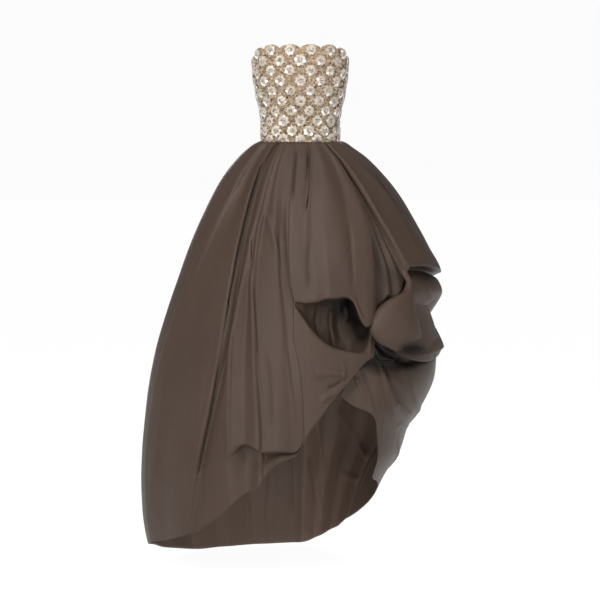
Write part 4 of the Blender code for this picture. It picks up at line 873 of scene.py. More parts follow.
def left_fields():
    """Give the angle, height and lift of each row and column of the front left panel.

    Rows go down to the lip, back up into the hollow, out to the cowl rim and down to the hem.
    """
    folds = table(LEFT_COLUMNS, LEFT_FOLDS)
    over = columns_down(UPPER_COLUMNS, UPPER_ROWS)
    under = columns_down(LEFT_LIP_COLUMNS, LEFT_LIP_ROWS)
    below = columns_down(LEFT_FALL_COLUMNS, LEFT_FALL_ROWS)
    places = fine_places(folds["steps"], "left")
    lip, rim, hem, hollow = fold_lines(folds, places, "lip", "rim", "hem", "hollow")
    a_lip, a_rim, a_hem = fold_lines(folds, places, "a_lip", "a_rim", "a_hem")
    plain = blend(lip, rim, under["plain"])
    turned = blend(lip, rim, under["turned"]) + under["step"]
    fall = blend(rim - LEFT_FALL_START, hem, below["turned"])
    short = blend(rim, hem, below["plain"])
    fall = blend(fall, short, np.clip((SHORT_FALL - (rim - hem)) / (SHORT_FALL / 2), 0.0, 1.0))
    heights = np.vstack([over["part"] * lip, blend(plain, turned, hollow), fall])
    names = ("waist", "high", "hip", "low")
    angles, lifts = fold_fields(folds, places, heights, LEFT_HEIGHTS + (LEFT_LIP_HEIGHT,),
                                names + ("lip",), names + ("low",))
    top = len(over["part"])
    rest = top + len(plain)
    near = over["part"][:, 0] > NEAR_LIP
    ease = smooth((over["part"][near] - NEAR_LIP) / (1 - NEAR_LIP))
    angles[:top][near] = blend(angles[:top][near], a_lip, ease)
    angles[top:rest] = blend(a_lip, a_rim, under["ease"])
    angles[rest:] = blend(a_rim, a_hem, (heights[rest:] - rim) / (hem - rim))
    turn = np.clip(places - (len(folds["steps"]) - 2), 0.0, 1.0)
    edge = folds["l_low"][-1]
    lifts[top:rest] = blend(lifts[top:rest] * under["keep"], edge, turn)
    lifts[rest:] = edge * turn
    swell = np.concatenate([over["left_lift"], under["lift"], below["lift"]])
    return angles, heights, lifts + swell * hollow * (1 - turn)


def side_fields():
    """Give the angle, height and lift of each row and column of the side drape.

    Rows go down to the lip, in and out through two bubbles, and then down to the hem.
    """
    folds = table(SIDE_COLUMNS, SIDE_FOLDS)
    over = columns_down(UPPER_COLUMNS, UPPER_ROWS)
    through = columns_down(SIDE_LIP_COLUMNS, SIDE_LIP_ROWS)
    below = columns_down(SIDE_FALL_COLUMNS, SIDE_FALL_ROWS)
    places = fine_places(folds["steps"], "side")
    lip, mid, rim, hem, bubble = fold_lines(folds, places, "lip", "mid", "rim", "hem", "bubble")
    a_lip, a_rim, a_fall, a_hem = fold_lines(folds, places, "a_lip", "a_rim", "a_fall", "a_hem")
    l_lip, l_rim = fold_lines(folds, places, "l_lip", "l_rim")
    plain = shared(lip, mid, rim, through["plain_mid"], through["plain_rim"]) + through["plain_step"]
    turned = shared(lip, mid, rim, through["mid"], through["rim"]) + through["step"]
    fall = blend(plain[-1], hem, below["part"])
    heights = np.vstack([over["part"] * lip, blend(plain, turned, bubble), fall])
    names = ("waist", "high", "hip", "lip")
    angles, lifts = fold_fields(
        folds, places, heights, SIDE_HEIGHTS + (SIDE_LIP_HEIGHT,), names, names)
    top = len(over["part"])
    rest = top + len(plain)
    lower = blend(a_rim, a_fall, below["to_fall"])
    angles[top:rest] = blend(a_lip, a_rim, through["ease"])
    angles[rest:] = blend(lower, a_hem, below["to_hem"])
    lifts[top:rest] = blend(l_rim, l_lip, through["keep"])
    under = np.clip((UNDER_COWL_ANGLE - lower) / UNDER_COWL_SPREAD, 0.0, 1.0)
    lifts[rest:] = -UNDER_COWL_DEPTH * under
    swell = np.concatenate([over["side_lift"], through["lift"], np.zeros((len(fall), 1))])
    return angles, heights, lifts + swell * bubble


def back_fields(gore):
    """Give the angle, height and lift of a back gore: pleats as a sine with its first overtone."""
    start, end, pleats = gore["start"], gore["end"], gore["pleats"]
    angle = np.linspace(start, end, pleats * gore["steps"] * PER_STEP["back"] + 1)
    heights = np.array((0.0,) + BACK_ROWS)[:, None] * back_hem(angle)
    turn = (angle - start) / (end - start) * pleats * 2 * pi
    pleat = table(PLEAT_COLUMNS, PLEAT_LIFT)
    size = curve(heights, pleat["height"], pleat["lift"])
    wave = gore["first_way"] * (np.sin(turn) + PLEAT_OVERTONE * np.sin(2 * turn))
    return np.broadcast_to(angle, heights.shape), heights, size * wave


def scroll_fields():
    """Give the angle, height and lift of the rolled puff, open to the wearer's left.

    Across each section the cloth runs from its front edge round the fold to its back edge: as
    turn goes from 0 to 180 degrees, the way out from the fold is the square of its cosine, and
    the front swells by the sine of twice the turn.
    """
    rows = columns_down(SCROLL_COLUMNS, SCROLL_SECTIONS)
    turn = np.linspace(0.0, pi, SCROLL_STEPS)
    out = np.cos(turn) ** 2
    front = turn < pi / 2
    angle = blend(rows["a_fold"], np.where(front, rows["a_front"], rows["a_back"]), out)
    height = blend(rows["z_fold"], np.where(front, rows["z_front"], rows["z_back"]), out)
    height = height + np.where(front, rows["arch"], -rows["sag"]) * np.sin(2 * turn) ** 2
    lift = rows["l_fold"] + np.where(front, rows["l_front"] - rows["l_fold"],
                                     rows["l_fold"] - rows["l_back"]) * np.cos(turn)
    lift = lift + np.where(front, rows["bulge"], 0.0) * np.sin(2 * turn)
    return angle, height, lift


def refine(fields, length_step):
    """Read the rows of a panel at fine rows, on smooth curves down its columns.

    Gives the fine fields, and where each fine row stands among the coarse ones.
    """
    points = skirt_point(*fields)
    runs = np.linalg.norm(np.diff(points, axis=0), axis=-1).mean(axis=1)
    counts = np.maximum(LEAST_ROWS, np.ceil(runs / length_step)).astype(int)
    rows = np.concatenate([i + np.arange(n) / n for i, n in enumerate(counts)] + [[len(counts)]])
    index = np.arange(len(points))
    return [curve(rows, index, field) for field in fields], rows


def soft_noise(u, v, size, seed):
    """Give a smooth random height from -1 to 1: random values on a lattice, joined softly."""
    lattice = np.random.default_rng(seed).uniform(-1.0, 1.0, (NOISE_CELLS, NOISE_CELLS))
    i = np.floor(u / size[0]).astype(int)
    j = np.floor(v / size[1]).astype(int)
    across = smooth(u / size[0] - i)
    down = smooth(v / size[1] - j)

    def pick(di, dj):
        return lattice[(i + di) % NOISE_CELLS, (j + dj) % NOISE_CELLS]

    low = blend(pick(0, 0), pick(1, 0), across)
    high = blend(pick(0, 1), pick(1, 1), across)
    return blend(low, high, down)


def cloth_lengths(points):
    """Give how far each point lies across and down its cloth, in metres, as mean run lengths."""
    across = np.linalg.norm(np.diff(points, axis=1), axis=-1).mean(axis=0)
    down = np.linalg.norm(np.diff(points, axis=0), axis=-1).mean(axis=1)
    u = np.concatenate([[0.0], np.cumsum(across)])
    v = np.concatenate([[0.0], np.cumsum(down)])
    return np.broadcast_to(u, points.shape[:2]), np.broadcast_to(v[:, None], points.shape[:2])


def crease_height(across, up, crease):
    """Give the height of one crease at points seen flat, in mm.

    The crease runs along the curve through its three points. Its height falls off as a bell
    with its own width on each side, and fades towards both ends.
    """
    start, middle, end = (
        np.array((crease["x_" + part], -crease["y_" + part])) for part in ("start", "middle", "end"))
    t = np.linspace(0.0, 1.0, CREASE_RUNS + 1)[:, None]
    bend = 2 * middle - (start + end) / 2
    path = start * (1 - t) ** 2 + bend * 2 * t * (1 - t) + end * t**2
    nearest = np.full(across.shape, np.inf)
    place = np.zeros(across.shape)
    side = np.zeros(across.shape)
    for i in range(CREASE_RUNS):
        run = path[i + 1] - path[i]
        a = across - path[i, 0]
        b = up - path[i, 1]
        along = np.clip((a * run[0] + b * run[1]) / (run @ run), 0.0, 1.0)
        gap = np.hypot(a - along * run[0], b - along * run[1])
        closer = gap < nearest
        nearest = np.where(closer, gap, nearest)
        place = np.where(closer, (i + along) / CREASE_RUNS, place)
        side = np.where(closer, run[0] * b - run[1] * a, side)
    width = np.where(side > 0, crease["width_right"], crease["width_left"]) * MM / VIEW_STEP
    fade = smooth(np.clip(np.minimum(place, 1 - place) / CREASE_FADE, 0.0, 1.0))
    return crease["depth"] * np.exp(-((nearest / width) ** 2)) * fade


def seen_flat(points, view):
    """Give the places of points in a view, in steps across and, below zero, down."""
    if view == "left":
        return SIDE_MIDDLE[0] + points[..., 1] / VIEW_STEP, points[..., 2] / VIEW_STEP - SIDE_MIDDLE[1]
    ahead = np.array((0.0, cos(CAMERA_TILT), -sin(CAMERA_TILT)))
    over = np.array((0.0, sin(CAMERA_TILT), cos(CAMERA_TILT)))
    off = points - (np.array((0.0, 0.0, AIM_HEIGHT)) - ahead * CAMERA_DISTANCE)
    scale = CAMERA_DISTANCE / (off @ ahead) / VIEW_STEP
    return VIEW_MIDDLE[0] + off[..., 0] * scale, off @ over * scale - VIEW_MIDDLE[1]


def on_rows(rows, mark):
    """Give how far a crease or shade counts on each row: fully from its first to its last."""
    from_first = np.clip((rows - mark["first"]) / ROW_FADE + 1, 0, 1)
    to_last = np.clip((mark["last"] - rows) / ROW_FADE + 1, 0, 1)
    return (from_first * to_last)[:, None]


def creases_and_shades(points, normal, rows, node):
    """Give the lift of a panel's creases in mm, and the share of its tone lost to painted shade in its
    folds.
    """
    lift = np.zeros(points.shape[:2])
    shade = np.zeros(points.shape[:2])
    for view, way in VIEWS.items():
        across, up = seen_flat(points, view)
        towards = np.clip(normal @ np.array(way) * FACING_GAIN + FACING_START, 0.0, 1.0)
        for values in CREASES.get((node, view), ()):
            crease = dict(zip(CREASE_COLUMNS, values))
            lift += crease_height(across, up, crease) * on_rows(rows, crease) * towards
        for values in SHADES.get((node, view), ()):
            bell = dict(zip(SHADE_COLUMNS, values))
            gap = ((across - bell["x"]) / bell["wide"]) ** 2 + ((up + bell["y"]) / bell["high"]) ** 2
            shade += bell["share"] * np.exp(-gap) * on_rows(rows, bell) * towards
    return lift, shade


def to_seam(points, column, angle_at):
    """Bring a column of a panel onto its seam's curve, with the columns beside it eased along."""
    heights = points[:, column, 2]
    exact = skirt_point(angle_at(heights), heights, np.full(heights.shape, -SEAM_DITCH))
    shift = exact - points[:, column]
    steps = np.arange(points.shape[1])
    if column != 0:
        steps = steps[::-1]
    share = np.exp(-((steps / SEAM_SPREAD) ** 2))
    return points + shift[:, None, :] * share[None, :, None]


def fixed(angle):
    """Give a seam that runs straight down at one angle."""
    return lambda heights: np.full(np.shape(heights), float(angle))


def placed(name, data):
    """Put an object with its data into the scene."""
    item = bpy.data.objects.new(name, data)
    bpy.context.scene.collection.objects.link(item)
    return item


def mesh_object(name, corners, faces, finish):
    """Make a smooth object of corners and faces, with its material."""
    mesh = bpy.data.meshes.new(name)
    mesh.from_pydata(corners.reshape(-1, 3).tolist(), [], faces.tolist())
    mesh.polygons.foreach_set("use_smooth", np.ones(len(faces), bool))
    mesh.materials.append(finish)
    mesh.update()
    return placed(name, mesh)


def point_values(item, name, values):
    """Give each point of an object a value that its material reads."""
    layer = item.data.attributes.new(name, "FLOAT", "POINT")
    layer.data.foreach_set("value", np.asarray(values, np.float32).ravel())


def grid_quads(rows, columns):
    """Give the corners of each face of a grid whose points are numbered row by row."""
    index = np.arange(rows * columns).reshape(rows, columns)
    return np.stack([index[:-1, :-1], index[1:, :-1], index[1:, 1:], index[:-1, 1:]], -1).reshape(-1, 4)


def grid_object(name, points, lengths, finish):
    """Make an object of a grid of points, rows down and columns round, with its cloth map.

    lengths is how far each point lies across and down the cloth, in metres.
    """
    quads = grid_quads(*points.shape[:2])
    item = mesh_object(name, points, quads, finish)
    layer = item.data.uv_layers.new(name="cloth")
    uv = np.stack(lengths, -1).reshape(-1, 2)
    layer.data.foreach_set("uv", uv[quads.ravel()].ravel().astype(np.float32))
    return item


def thicken(item, thickness):
    """Give a cloth surface its thickness, half to each side."""
    wall = item.modifiers.new("cloth", "SOLIDIFY")
    wall.thickness = thickness
    wall.offset = 0.0
    wall.use_even_offset = False


def declare(item, node):
    """Hang a cloth piece on the gown's body and hide the imported part that it stands for."""
    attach(item, "gown")
    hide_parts(node)


def skirt_cloth(node, fields, seams):
    """Make a skirt panel: its fine grid, its creases, its crumple, its seams and its painted shade."""
    look = bpy.context.scene.gown_cloth
    fine, rows = refine(fields, look.grid_step)
    fine[1] = np.where(rows[:, None] == 0.0, WAIST_TOP, fine[1])
    points = skirt_point(*fine)
    normal = grid_normals(points)
    lift, shade = creases_and_shades(points, normal, rows, node)
    # Painted shade in the troughs of the creases.
    if node not in NO_TROUGH_SHADE:
        shade += TROUGH_SHADE_SHARE * np.clip(-lift / TROUGH_DEPTH, 0.0, 1.0) ** 2
    u, v = cloth_lengths(points)
    seed = SKIRT_SEEDS[node]
    crumple = soft_noise(u, v, WIDE_CELLS, seed) + FINE_SHARE * soft_noise(u, v, FINE_CELLS, seed + 1)
    lift = lift * look.crease_depth * MM + crumple * look.crumple
    points = points + normal * (lift * np.clip(v / WAIST_EASE, 0.0, 1.0))[..., None]
    for column, angle_at in seams.items():
        points = to_seam(points, column, angle_at)
    item = grid_object(node + "_cloth", points, (u, v), material("gown_taffeta", taffeta_look))
    point_values(item, "shade", np.clip(shade, 0.0, 1.0))
    thicken(item, look.thickness)
    # Painted light: the inside of these panels gets a lighter, tinted copy of the taffeta.
    if node in INSIDE_PAINTED_LIGHT:
        times = tuple(tint * INSIDE_PAINTED_LIGHT[node] for tint in INSIDE_PAINTED_LIGHT_TINT)
        inside = material("gown_taffeta_" + node + "_inside", taffeta_look, times)
        item.data.materials.append(inside)
        item.modifiers["cloth"].material_offset = 1
    declare(item, node)


def number(name, about, default, most, least=0.0):
    """Give a number setting with its limits."""
    return bpy.props.FloatProperty(
        name=name, description=about, default=default, min=least, max=most)


def length(name, about, default, most, least=0.0):
    """Give a length setting with its limits, in metres."""
    return bpy.props.FloatProperty(
        name=name, description=about, default=default, min=least, max=most, unit="LENGTH", precision=5)


def colour(name, about, default):
    """Give a colour setting."""
    return bpy.props.FloatVectorProperty(
        name=name, description=about, subtype="COLOR", size=4, default=default, min=0.0, max=1.0)


class GownClothSettings(bpy.types.PropertyGroup):
    """Sizes and colours of the taffeta."""

    thickness: length("Thickness", "Thickness of the taffeta with its backing", 0.0016, 0.004, 0.0005)
    grid_step: length("Grid step", "Length of one mesh step down the cloth", 0.0065, 0.03, 0.003)
    crease_depth: number("Crease depth", "Depth of the creases, as a share of the table's", 1.0, 2.0)
    crumple: length("Crumple", "Height of the small unevenness of the cloth", 0.0005, 0.01)
    colour: colour("Colour", "Colour of the taffeta", (0.060, 0.0395, 0.0292, 1.0))
    deep_colour: colour("Deep colour", "Darker colour between its slubs", (0.045, 0.0293, 0.0215, 1.0))


class GownBeadSettings(bpy.types.PropertyGroup):
    """Sizes and colours of the beaded bodice."""

    petals: bpy.props.IntProperty(
        name="Petals", description="Petals of each flower", default=8, min=5, max=12)
    petal_length: length("Petal length", "From a flower's ring to a petal's tip", 0.0135, 0.02, 0.004)
    petal_width: length("Petal width", "Widest part of a petal", 0.0096, 0.02, 0.003)
    ring: length("Ring", "Radius of the ring of beads in a flower", 0.0068, 0.01, 0.002)
    bead: length("Ground bead", "Radius of a ground bead", 0.00155, 0.003, 0.0005)
    bead_pitch: length("Bead pitch", "Distance between ground beads", 0.0040, 0.01, 0.002)
    petal_colour: colour("Petal colour", "Colour of the petals", (0.42, 0.345, 0.255, 1.0))
    net_colour: colour("Net colour", "Colour of the net under the beads", (0.40, 0.27, 0.165, 1.0))


class GownStageSettings(bpy.types.PropertyGroup):
    """Light and floor of the stage. Lights have their power in watts."""

    floor_colour: colour("Floor colour", "Colour of the floor", (0.10, 0.10, 0.10, 1.0))
    floor_glow: number("Floor glow", "Light that the white floor sends back", 0.95, 5.0)
    sky: number("Sky", "Strength of the light from all round", 0.22, 5.0)
    backdrop: number("Backdrop", "Brightness of the backdrop behind", 0.97, 5.0)
    key: number("Key", "Power of the main soft light", 345.0, 5000.0)
    fill: number("Fill", "Power of the light from the other side", 105.0, 5000.0)
    top: number("Top", "Power of the light from above", 165.0, 5000.0)
    low: number("Low", "Power of the light along the floor", 70.0, 5000.0)
    back: number("Back", "Power of the light from behind", 50.0, 5000.0)


def feed(tree, node, inputs):
    """Give each input of a node its value, or link another node's output to it."""
    for key, value in inputs.items():
        if isinstance(value, bpy.types.NodeSocket):
            tree.links.new(value, node.inputs[key])
        else:
            node.inputs[key].default_value = value


def add_node(tree, kind, inputs, **settings):
    """Add a shader node with its settings and inputs."""
    node = tree.nodes.new("ShaderNode" + kind)
    for key, value in settings.items():
        setattr(node, key, value)
    feed(tree, node, inputs)
    return node


def calculate(tree, operation, *values):
    """Work out an operation on values or outputs and give the output."""
    return add_node(tree, "Math", dict(enumerate(values)), operation=operation).outputs[0]


def mix_colours(tree, factor, low, high):
    """Mix two colours by a factor output and give the mixed output."""
    return add_node(tree, "Mix", {0: factor, 6: low, 7: high}, data_type="RGBA").outputs[2]


def map_range(tree, value, span, to):
    """Map a value from one span to another and give the output."""
    inputs = {"Value": value, "From Min": span[0], "From Max": span[1], "To Min": to[0], "To Max": to[1]}
    return add_node(tree, "MapRange", inputs).outputs["Result"]


def noise(tree, scale, detail, stretch=(1.0, 1.0, 1.0)):
    """Give a noise output on Object coordinates, stretched along the axes."""
    place = add_node(tree, "TexCoord", {}).outputs["Object"]
    place = add_node(tree, "Mapping", {"Vector": place, "Scale": stretch}).outputs[0]
    return add_node(tree, "TexNoise", {"Vector": place, "Scale": scale, "Detail": detail}).outputs[0]


def bump(tree, height, distance, strength, below=None):
    """Turn a height into a normal, on top of another normal where one is given."""
    inputs = {"Distance": distance, "Strength": strength, "Height": height}
    if below is not None:
        inputs["Normal"] = below
    return add_node(tree, "Bump", inputs).outputs[0]


def weave_group():
    """Node group of a plain weave with fine cross ribs, on the cloth map in metres.

    Height is one band wave along the cloth times one across it; Slub is stretched noise.
    """
    name = "gown_weave"
    if name in bpy.data.node_groups:
        return bpy.data.node_groups[name]
    group = bpy.data.node_groups.new(name, "ShaderNodeTree")
    for socket, way in (("Rib", "INPUT"), ("Height", "OUTPUT"), ("Slub", "OUTPUT")):
        group.interface.new_socket(name=socket, in_out=way, socket_type="NodeSocketFloat")
    start = group.nodes.new("NodeGroupInput")
    end = group.nodes.new("NodeGroupOutput")
    place = add_node(group, "UVMap", {}, uv_map="cloth").outputs[0]
    parts = add_node(group, "SeparateXYZ", {0: place}).outputs
    along, across = (
        calculate(group, "SINE", calculate(group, "MULTIPLY", parts[axis], calculate(
            group, "DIVIDE", 2 * pi * share, start.outputs["Rib"])))
        for axis, share in ((1, 1.0), (0, 2.0)))
    thread = calculate(group, "MULTIPLY_ADD", across, CROSS_RIB, along)
    stretched = add_node(group, "Mapping", {"Vector": place, "Scale": SLUB_STRETCH}).outputs[0]
    slub = add_node(group, "TexNoise", {"Vector": stretched, "Scale": 1.0, "Detail": 3.0}).outputs[0]
    feed(group, end, {"Height": thread, "Slub": slub})
    return group


def material(name, look, *values, **named):
    """Give the material of a name. At its first use, its look gives its shader's inputs."""
    if name not in bpy.data.materials:
        made = bpy.data.materials.new(name)
        made.use_nodes = True
        tree = made.node_tree
        feed(tree, tree.nodes["Principled BSDF"], look(tree, *values, **named))
    return bpy.data.materials[name]


def taffeta_look(tree, times=(1.0, 1.0, 1.0)):
    """Taffeta: crisp and dark, with a soft satin sheen, fine ribs, slubs and small creases.

    Its colours are multiplied by times, which paints light on the inside of some panels, and it
    loses its tone to painted shade by the shade attribute.
    """
    look = bpy.context.scene.gown_cloth
    weave = add_node(tree, "Group", {}, node_tree=weave_group())
    weave.inputs["Rib"].default_value = TAFFETA_RIB
    slub = weave.outputs["Slub"]
    clouds = map_range(tree, noise(tree, scale=6.0, detail=3.0), NOISE_SPAN, (0.0, 0.4))
    tone = calculate(tree, "MULTIPLY_ADD", slub, SLUB_SHARE, clouds)
    low, high = ([part * share for part, share in zip(shown, times)] + [1.0]
                 for shown in (look.deep_colour, look.colour))
    # Painted shade: the shade attribute darkens the colour towards SHADE_COLOUR deep in folds.
    depth = add_node(tree, "Attribute", {}, attribute_name="shade").outputs["Fac"]
    crumple = noise(tree, scale=14.0, detail=4.0, stretch=(1.6, 1.6, 0.7))
    crumpled = bump(tree, crumple, distance=0.006, strength=0.22)
    return {
        "Base Color": mix_colours(tree, depth, mix_colours(tree, tone, low, high), SHADE_COLOUR),
        "Roughness": map_range(tree, slub, NOISE_SPAN, (0.44, 0.36)),
        "Normal": bump(tree, weave.outputs["Height"], distance=0.0002, strength=0.30, below=crumpled),
        "Specular IOR Level": 0.15,
    }


def net_look(tree):
    """Nude net on its backing: a fine mesh of threads, a little uneven in tone."""
    light = bpy.context.scene.gown_beads.net_colour
    weave = add_node(tree, "Group", {}, node_tree=weave_group())
    weave.inputs["Rib"].default_value = NET_RIB
    dark = tuple(part * NET_DARK for part in light[:3]) + (1.0,)
    tone = map_range(tree, noise(tree, scale=260.0, detail=2.0), (0.35, 0.65), WHOLE)
    return {
        "Base Color": mix_colours(tree, tone, dark, light),
        "Roughness": map_range(tree, tone, WHOLE, (0.62, 0.45)),
        "Normal": bump(tree, weave.outputs["Height"], distance=0.0004, strength=0.5),
    }


def toned_look(tree, low, high, roughness, metallic, grain):
    """Look whose colour goes from low to high by the piece's tone attribute.

    Each bead or petal has its own tone. grain is how much its roughness follows a fine noise.
    """
    tone = add_node(tree, "Attribute", {}, attribute_name="tone").outputs["Fac"]
    fine = noise(tree, scale=900.0, detail=2.0)
    return {
        "Base Color": mix_colours(tree, tone, low, high),
        "Roughness": map_range(tree, fine, NOISE_SPAN, (roughness - grain, roughness + grain)),
        "Normal": bump(tree, fine, distance=0.0004, strength=0.25),
        "Metallic": metallic,
        "Coat Weight": 0.20,
        "Coat Roughness": 0.08,
    }


def ring_finish():
    """Silver and smoky beads in the flowers."""
    return material("gown_ring_beads", toned_look, SMOKE, SILVER, roughness=0.26, metallic=0.35, grain=0.06)


def ground_finish():
    """Gold, bronze and nude beads of the ground."""
    return material("gown_ground_beads", toned_look, BRONZE, NUDE, roughness=0.24, metallic=0.55, grain=0.06)


def brass_look(tree):
    """Antique brass of the zip: brushed, its tone varied by a stretched noise."""
    worn = noise(tree, scale=700.0, detail=3.0, stretch=(1.0, 1.0, 6.0))
    tone = map_range(tree, worn, NOISE_SPAN, WHOLE)
    return {
        "Base Color": mix_colours(tree, tone, *BRASS_TONES),
        "Roughness": map_range(tree, worn, NOISE_SPAN, (0.42, 0.26)),
        "Normal": bump(tree, worn, distance=0.0002, strength=0.3),
        "Metallic": 1.0,
    }


def tape_look(tree):
    """Woven zip tape: matt, with a fine rib on Object coordinates."""
    place = add_node(tree, "TexCoord", {}).outputs["Object"]
    rib = add_node(tree, "TexWave", {"Vector": place, "Scale": 380.0}, bands_direction="Z")
    tone = rib.outputs["Fac"]
    return {
        "Base Color": mix_colours(tree, tone, *TAPE_TONES),
        "Roughness": map_range(tree, tone, WHOLE, (0.9, 0.75)),
        "Normal": bump(tree, tone, distance=0.0003, strength=0.5),
    }


def floor_look(tree):
    """White floor that sends back light, so that it melts into the backdrop."""
    look = bpy.context.scene.gown_stage
    return {
        "Base Color": look.floor_colour,
        "Roughness": 0.9,
        "Emission Color": WHITE,
        "Emission Strength": look.floor_glow,
    }


def top_edge(angle):
    """Give the height of the scalloped top edge: an arc over each flower of the top row.

    Those flowers stand half a column from the centre front.
    """
    row = FLOWER_TOP_ROW * neckline(angle) + BODICE_BOTTOM
    place = np.asarray(angle) / COLUMN_ANGLE - 0.5
    off = (place - np.round(place)) * BODICE_ROUND / FLOWER_COLUMNS
    return row + np.sqrt(1.0 - (off / SCALLOP_HALF) ** 2) * SCALLOP_RISE


def bodice_cloth(node, first, last):
    """Make the net ground of a bodice panel, a grid in angle and height up to the scallops."""
    angle = np.linspace(first, last, int((last - first) * BODICE_ACROSS) + 1) * COLUMN_ANGLE
    part = np.linspace(1.0, 0.0, BODICE_DOWN)[:, None]
    height = BODICE_TUCK + (top_edge(angle) - BODICE_TUCK) * part
    points = bodice_point(np.broadcast_to(angle, height.shape), height, NET_OUT)
    item = grid_object(node + "_net", points, cloth_lengths(points), material("gown_net", net_look))
    thicken(item, bpy.context.scene.gown_cloth.thickness)
    declare(item, node)


def surface_frame(angle, height, out):
    """Give points out from the bodice's form, with the ways out, across and up there."""
    point = bodice_point(angle, height, out)
    across = unit(bodice_point(angle + FRAME_STEP, height, out)
                  - bodice_point(angle - FRAME_STEP, height, out))
    up = unit(bodice_point(angle, height + MM, out) - bodice_point(angle, height - MM, out))
    return point, unit(np.cross(across, up)), across, up


def joined_object(name, corners, faces, tone, finish, slot_name="beaded_tulle"):
    """Make one object of many small shapes, with a tone for each of their points."""
    item = mesh_object(name, corners, faces, finish)
    point_values(item, "tone", tone)
    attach(item, "gown")
    return item


def repeated(shape, faces, centres, axes, sizes):
    """Place a shape at many centres, each with its own axes (x, y, z ways) and size."""
    corners = np.einsum("pc,ncd->npd", shape, axes) * sizes[:, None, None] + centres[:, None, :]
    offsets = np.arange(len(centres))[:, None, None] * len(shape)
    return corners, (faces[None] + offsets).reshape(-1, faces.shape[1])


def beads(name, points, sizes, tone, finish, stretch=(1.0, 1.0, 1.0), **more):
    """Make one object of beads with twenty faces, each with its size and tone, all stretched."""
    ball = bmesh.new()
    bmesh.ops.create_icosphere(ball, subdivisions=1, radius=1.0)
    ball.verts.index_update()
    shape = np.array([vertex.co[:] for vertex in ball.verts])
    sides = np.array([[vertex.index for vertex in face.verts] for face in ball.faces])
    ball.free()
    axes = np.broadcast_to(np.diag(stretch), (len(points), 3, 3))
    corners, faces = repeated(shape, sides, points, axes, sizes)
    joined_object(name, corners, faces, np.repeat(tone, len(shape)), finish, **more)


def petal_grid(look):
    """Give one petal as a grid: x across, y out from the ring, z up.

    Its outline is an ellipse about its outer half, its rows are closer near the round tip, it is
    cupped across as a square, and it rises from the ring and curls down at the tip.
    """
    v = np.sin(np.linspace(0.0, pi / 2, PETAL_ROWS))[:, None]
    u = np.linspace(-1.0, 1.0, PETAL_COLUMNS)[None, :]
    wide = np.sqrt(np.maximum(1.0 - ((v - PETAL_WIDEST) / PETAL_HALF) ** 2, PETAL_NECK))
    x = look.petal_width / 2 * wide * u
    y = look.ring * PETAL_START + look.petal_length * v * (1 - PETAL_ROUND * u**2 * v)
    rise = PETAL_RISE * np.sin(pi * (PETAL_RISE_FROM + PETAL_RISE_OVER * v))
    z = rise + PETAL_CUP * u**2 * np.sin(pi * v)
    grid = np.stack(np.broadcast_arrays(x, y, z), -1).reshape(-1, 3)
    return grid, grid_quads(PETAL_ROWS, PETAL_COLUMNS)[:, [0, 3, 2, 1]]


def flower_places(first, last):
    """List the angle and height of a panel's flowers. None sits over the zip."""
    places = []
    for k in range(FLOWER_ROWS + 1):
        share = FLOWER_TOP_ROW - k * FLOWER_PITCH
        offset = 0.5 if k % 2 == 0 else 0.0
        for p in np.arange(np.floor(first) + offset, last + NUDGE):
            over_zip = abs(p) > FLOWER_COLUMNS / 2 - NUDGE
            if first - NUDGE <= p < last - NUDGE and not over_zip:
                angle = p * COLUMN_ANGLE
                places.append((angle, share * float(neckline(angle)) + BODICE_BOTTOM))
    return np.array(places).reshape(-1, 2)


def flowers(node, first, last, seed):
    """Make the flowers of a bodice panel, each moved a little from its place."""
    rng = np.random.default_rng(seed)
    places = flower_places(first, last)
    jitter = rng.normal(0.0, 1.0, (len(places), 2))
    angle = places[:, 0] + jitter[:, 0] * FLOWER_JITTER / BODICE_RADIUS * DEGREES
    low = places[:, 1] < LOW_FLOWER
    height = places[:, 1] + jitter[:, 1] * FLOWER_JITTER + low * LOW_RAISE
    surface = surface_frame(angle, height, FLOWER_STAND)
    petals(node + "_petals", surface, height, rng)
    flower_beads(node + "_ring_beads", surface, rng)


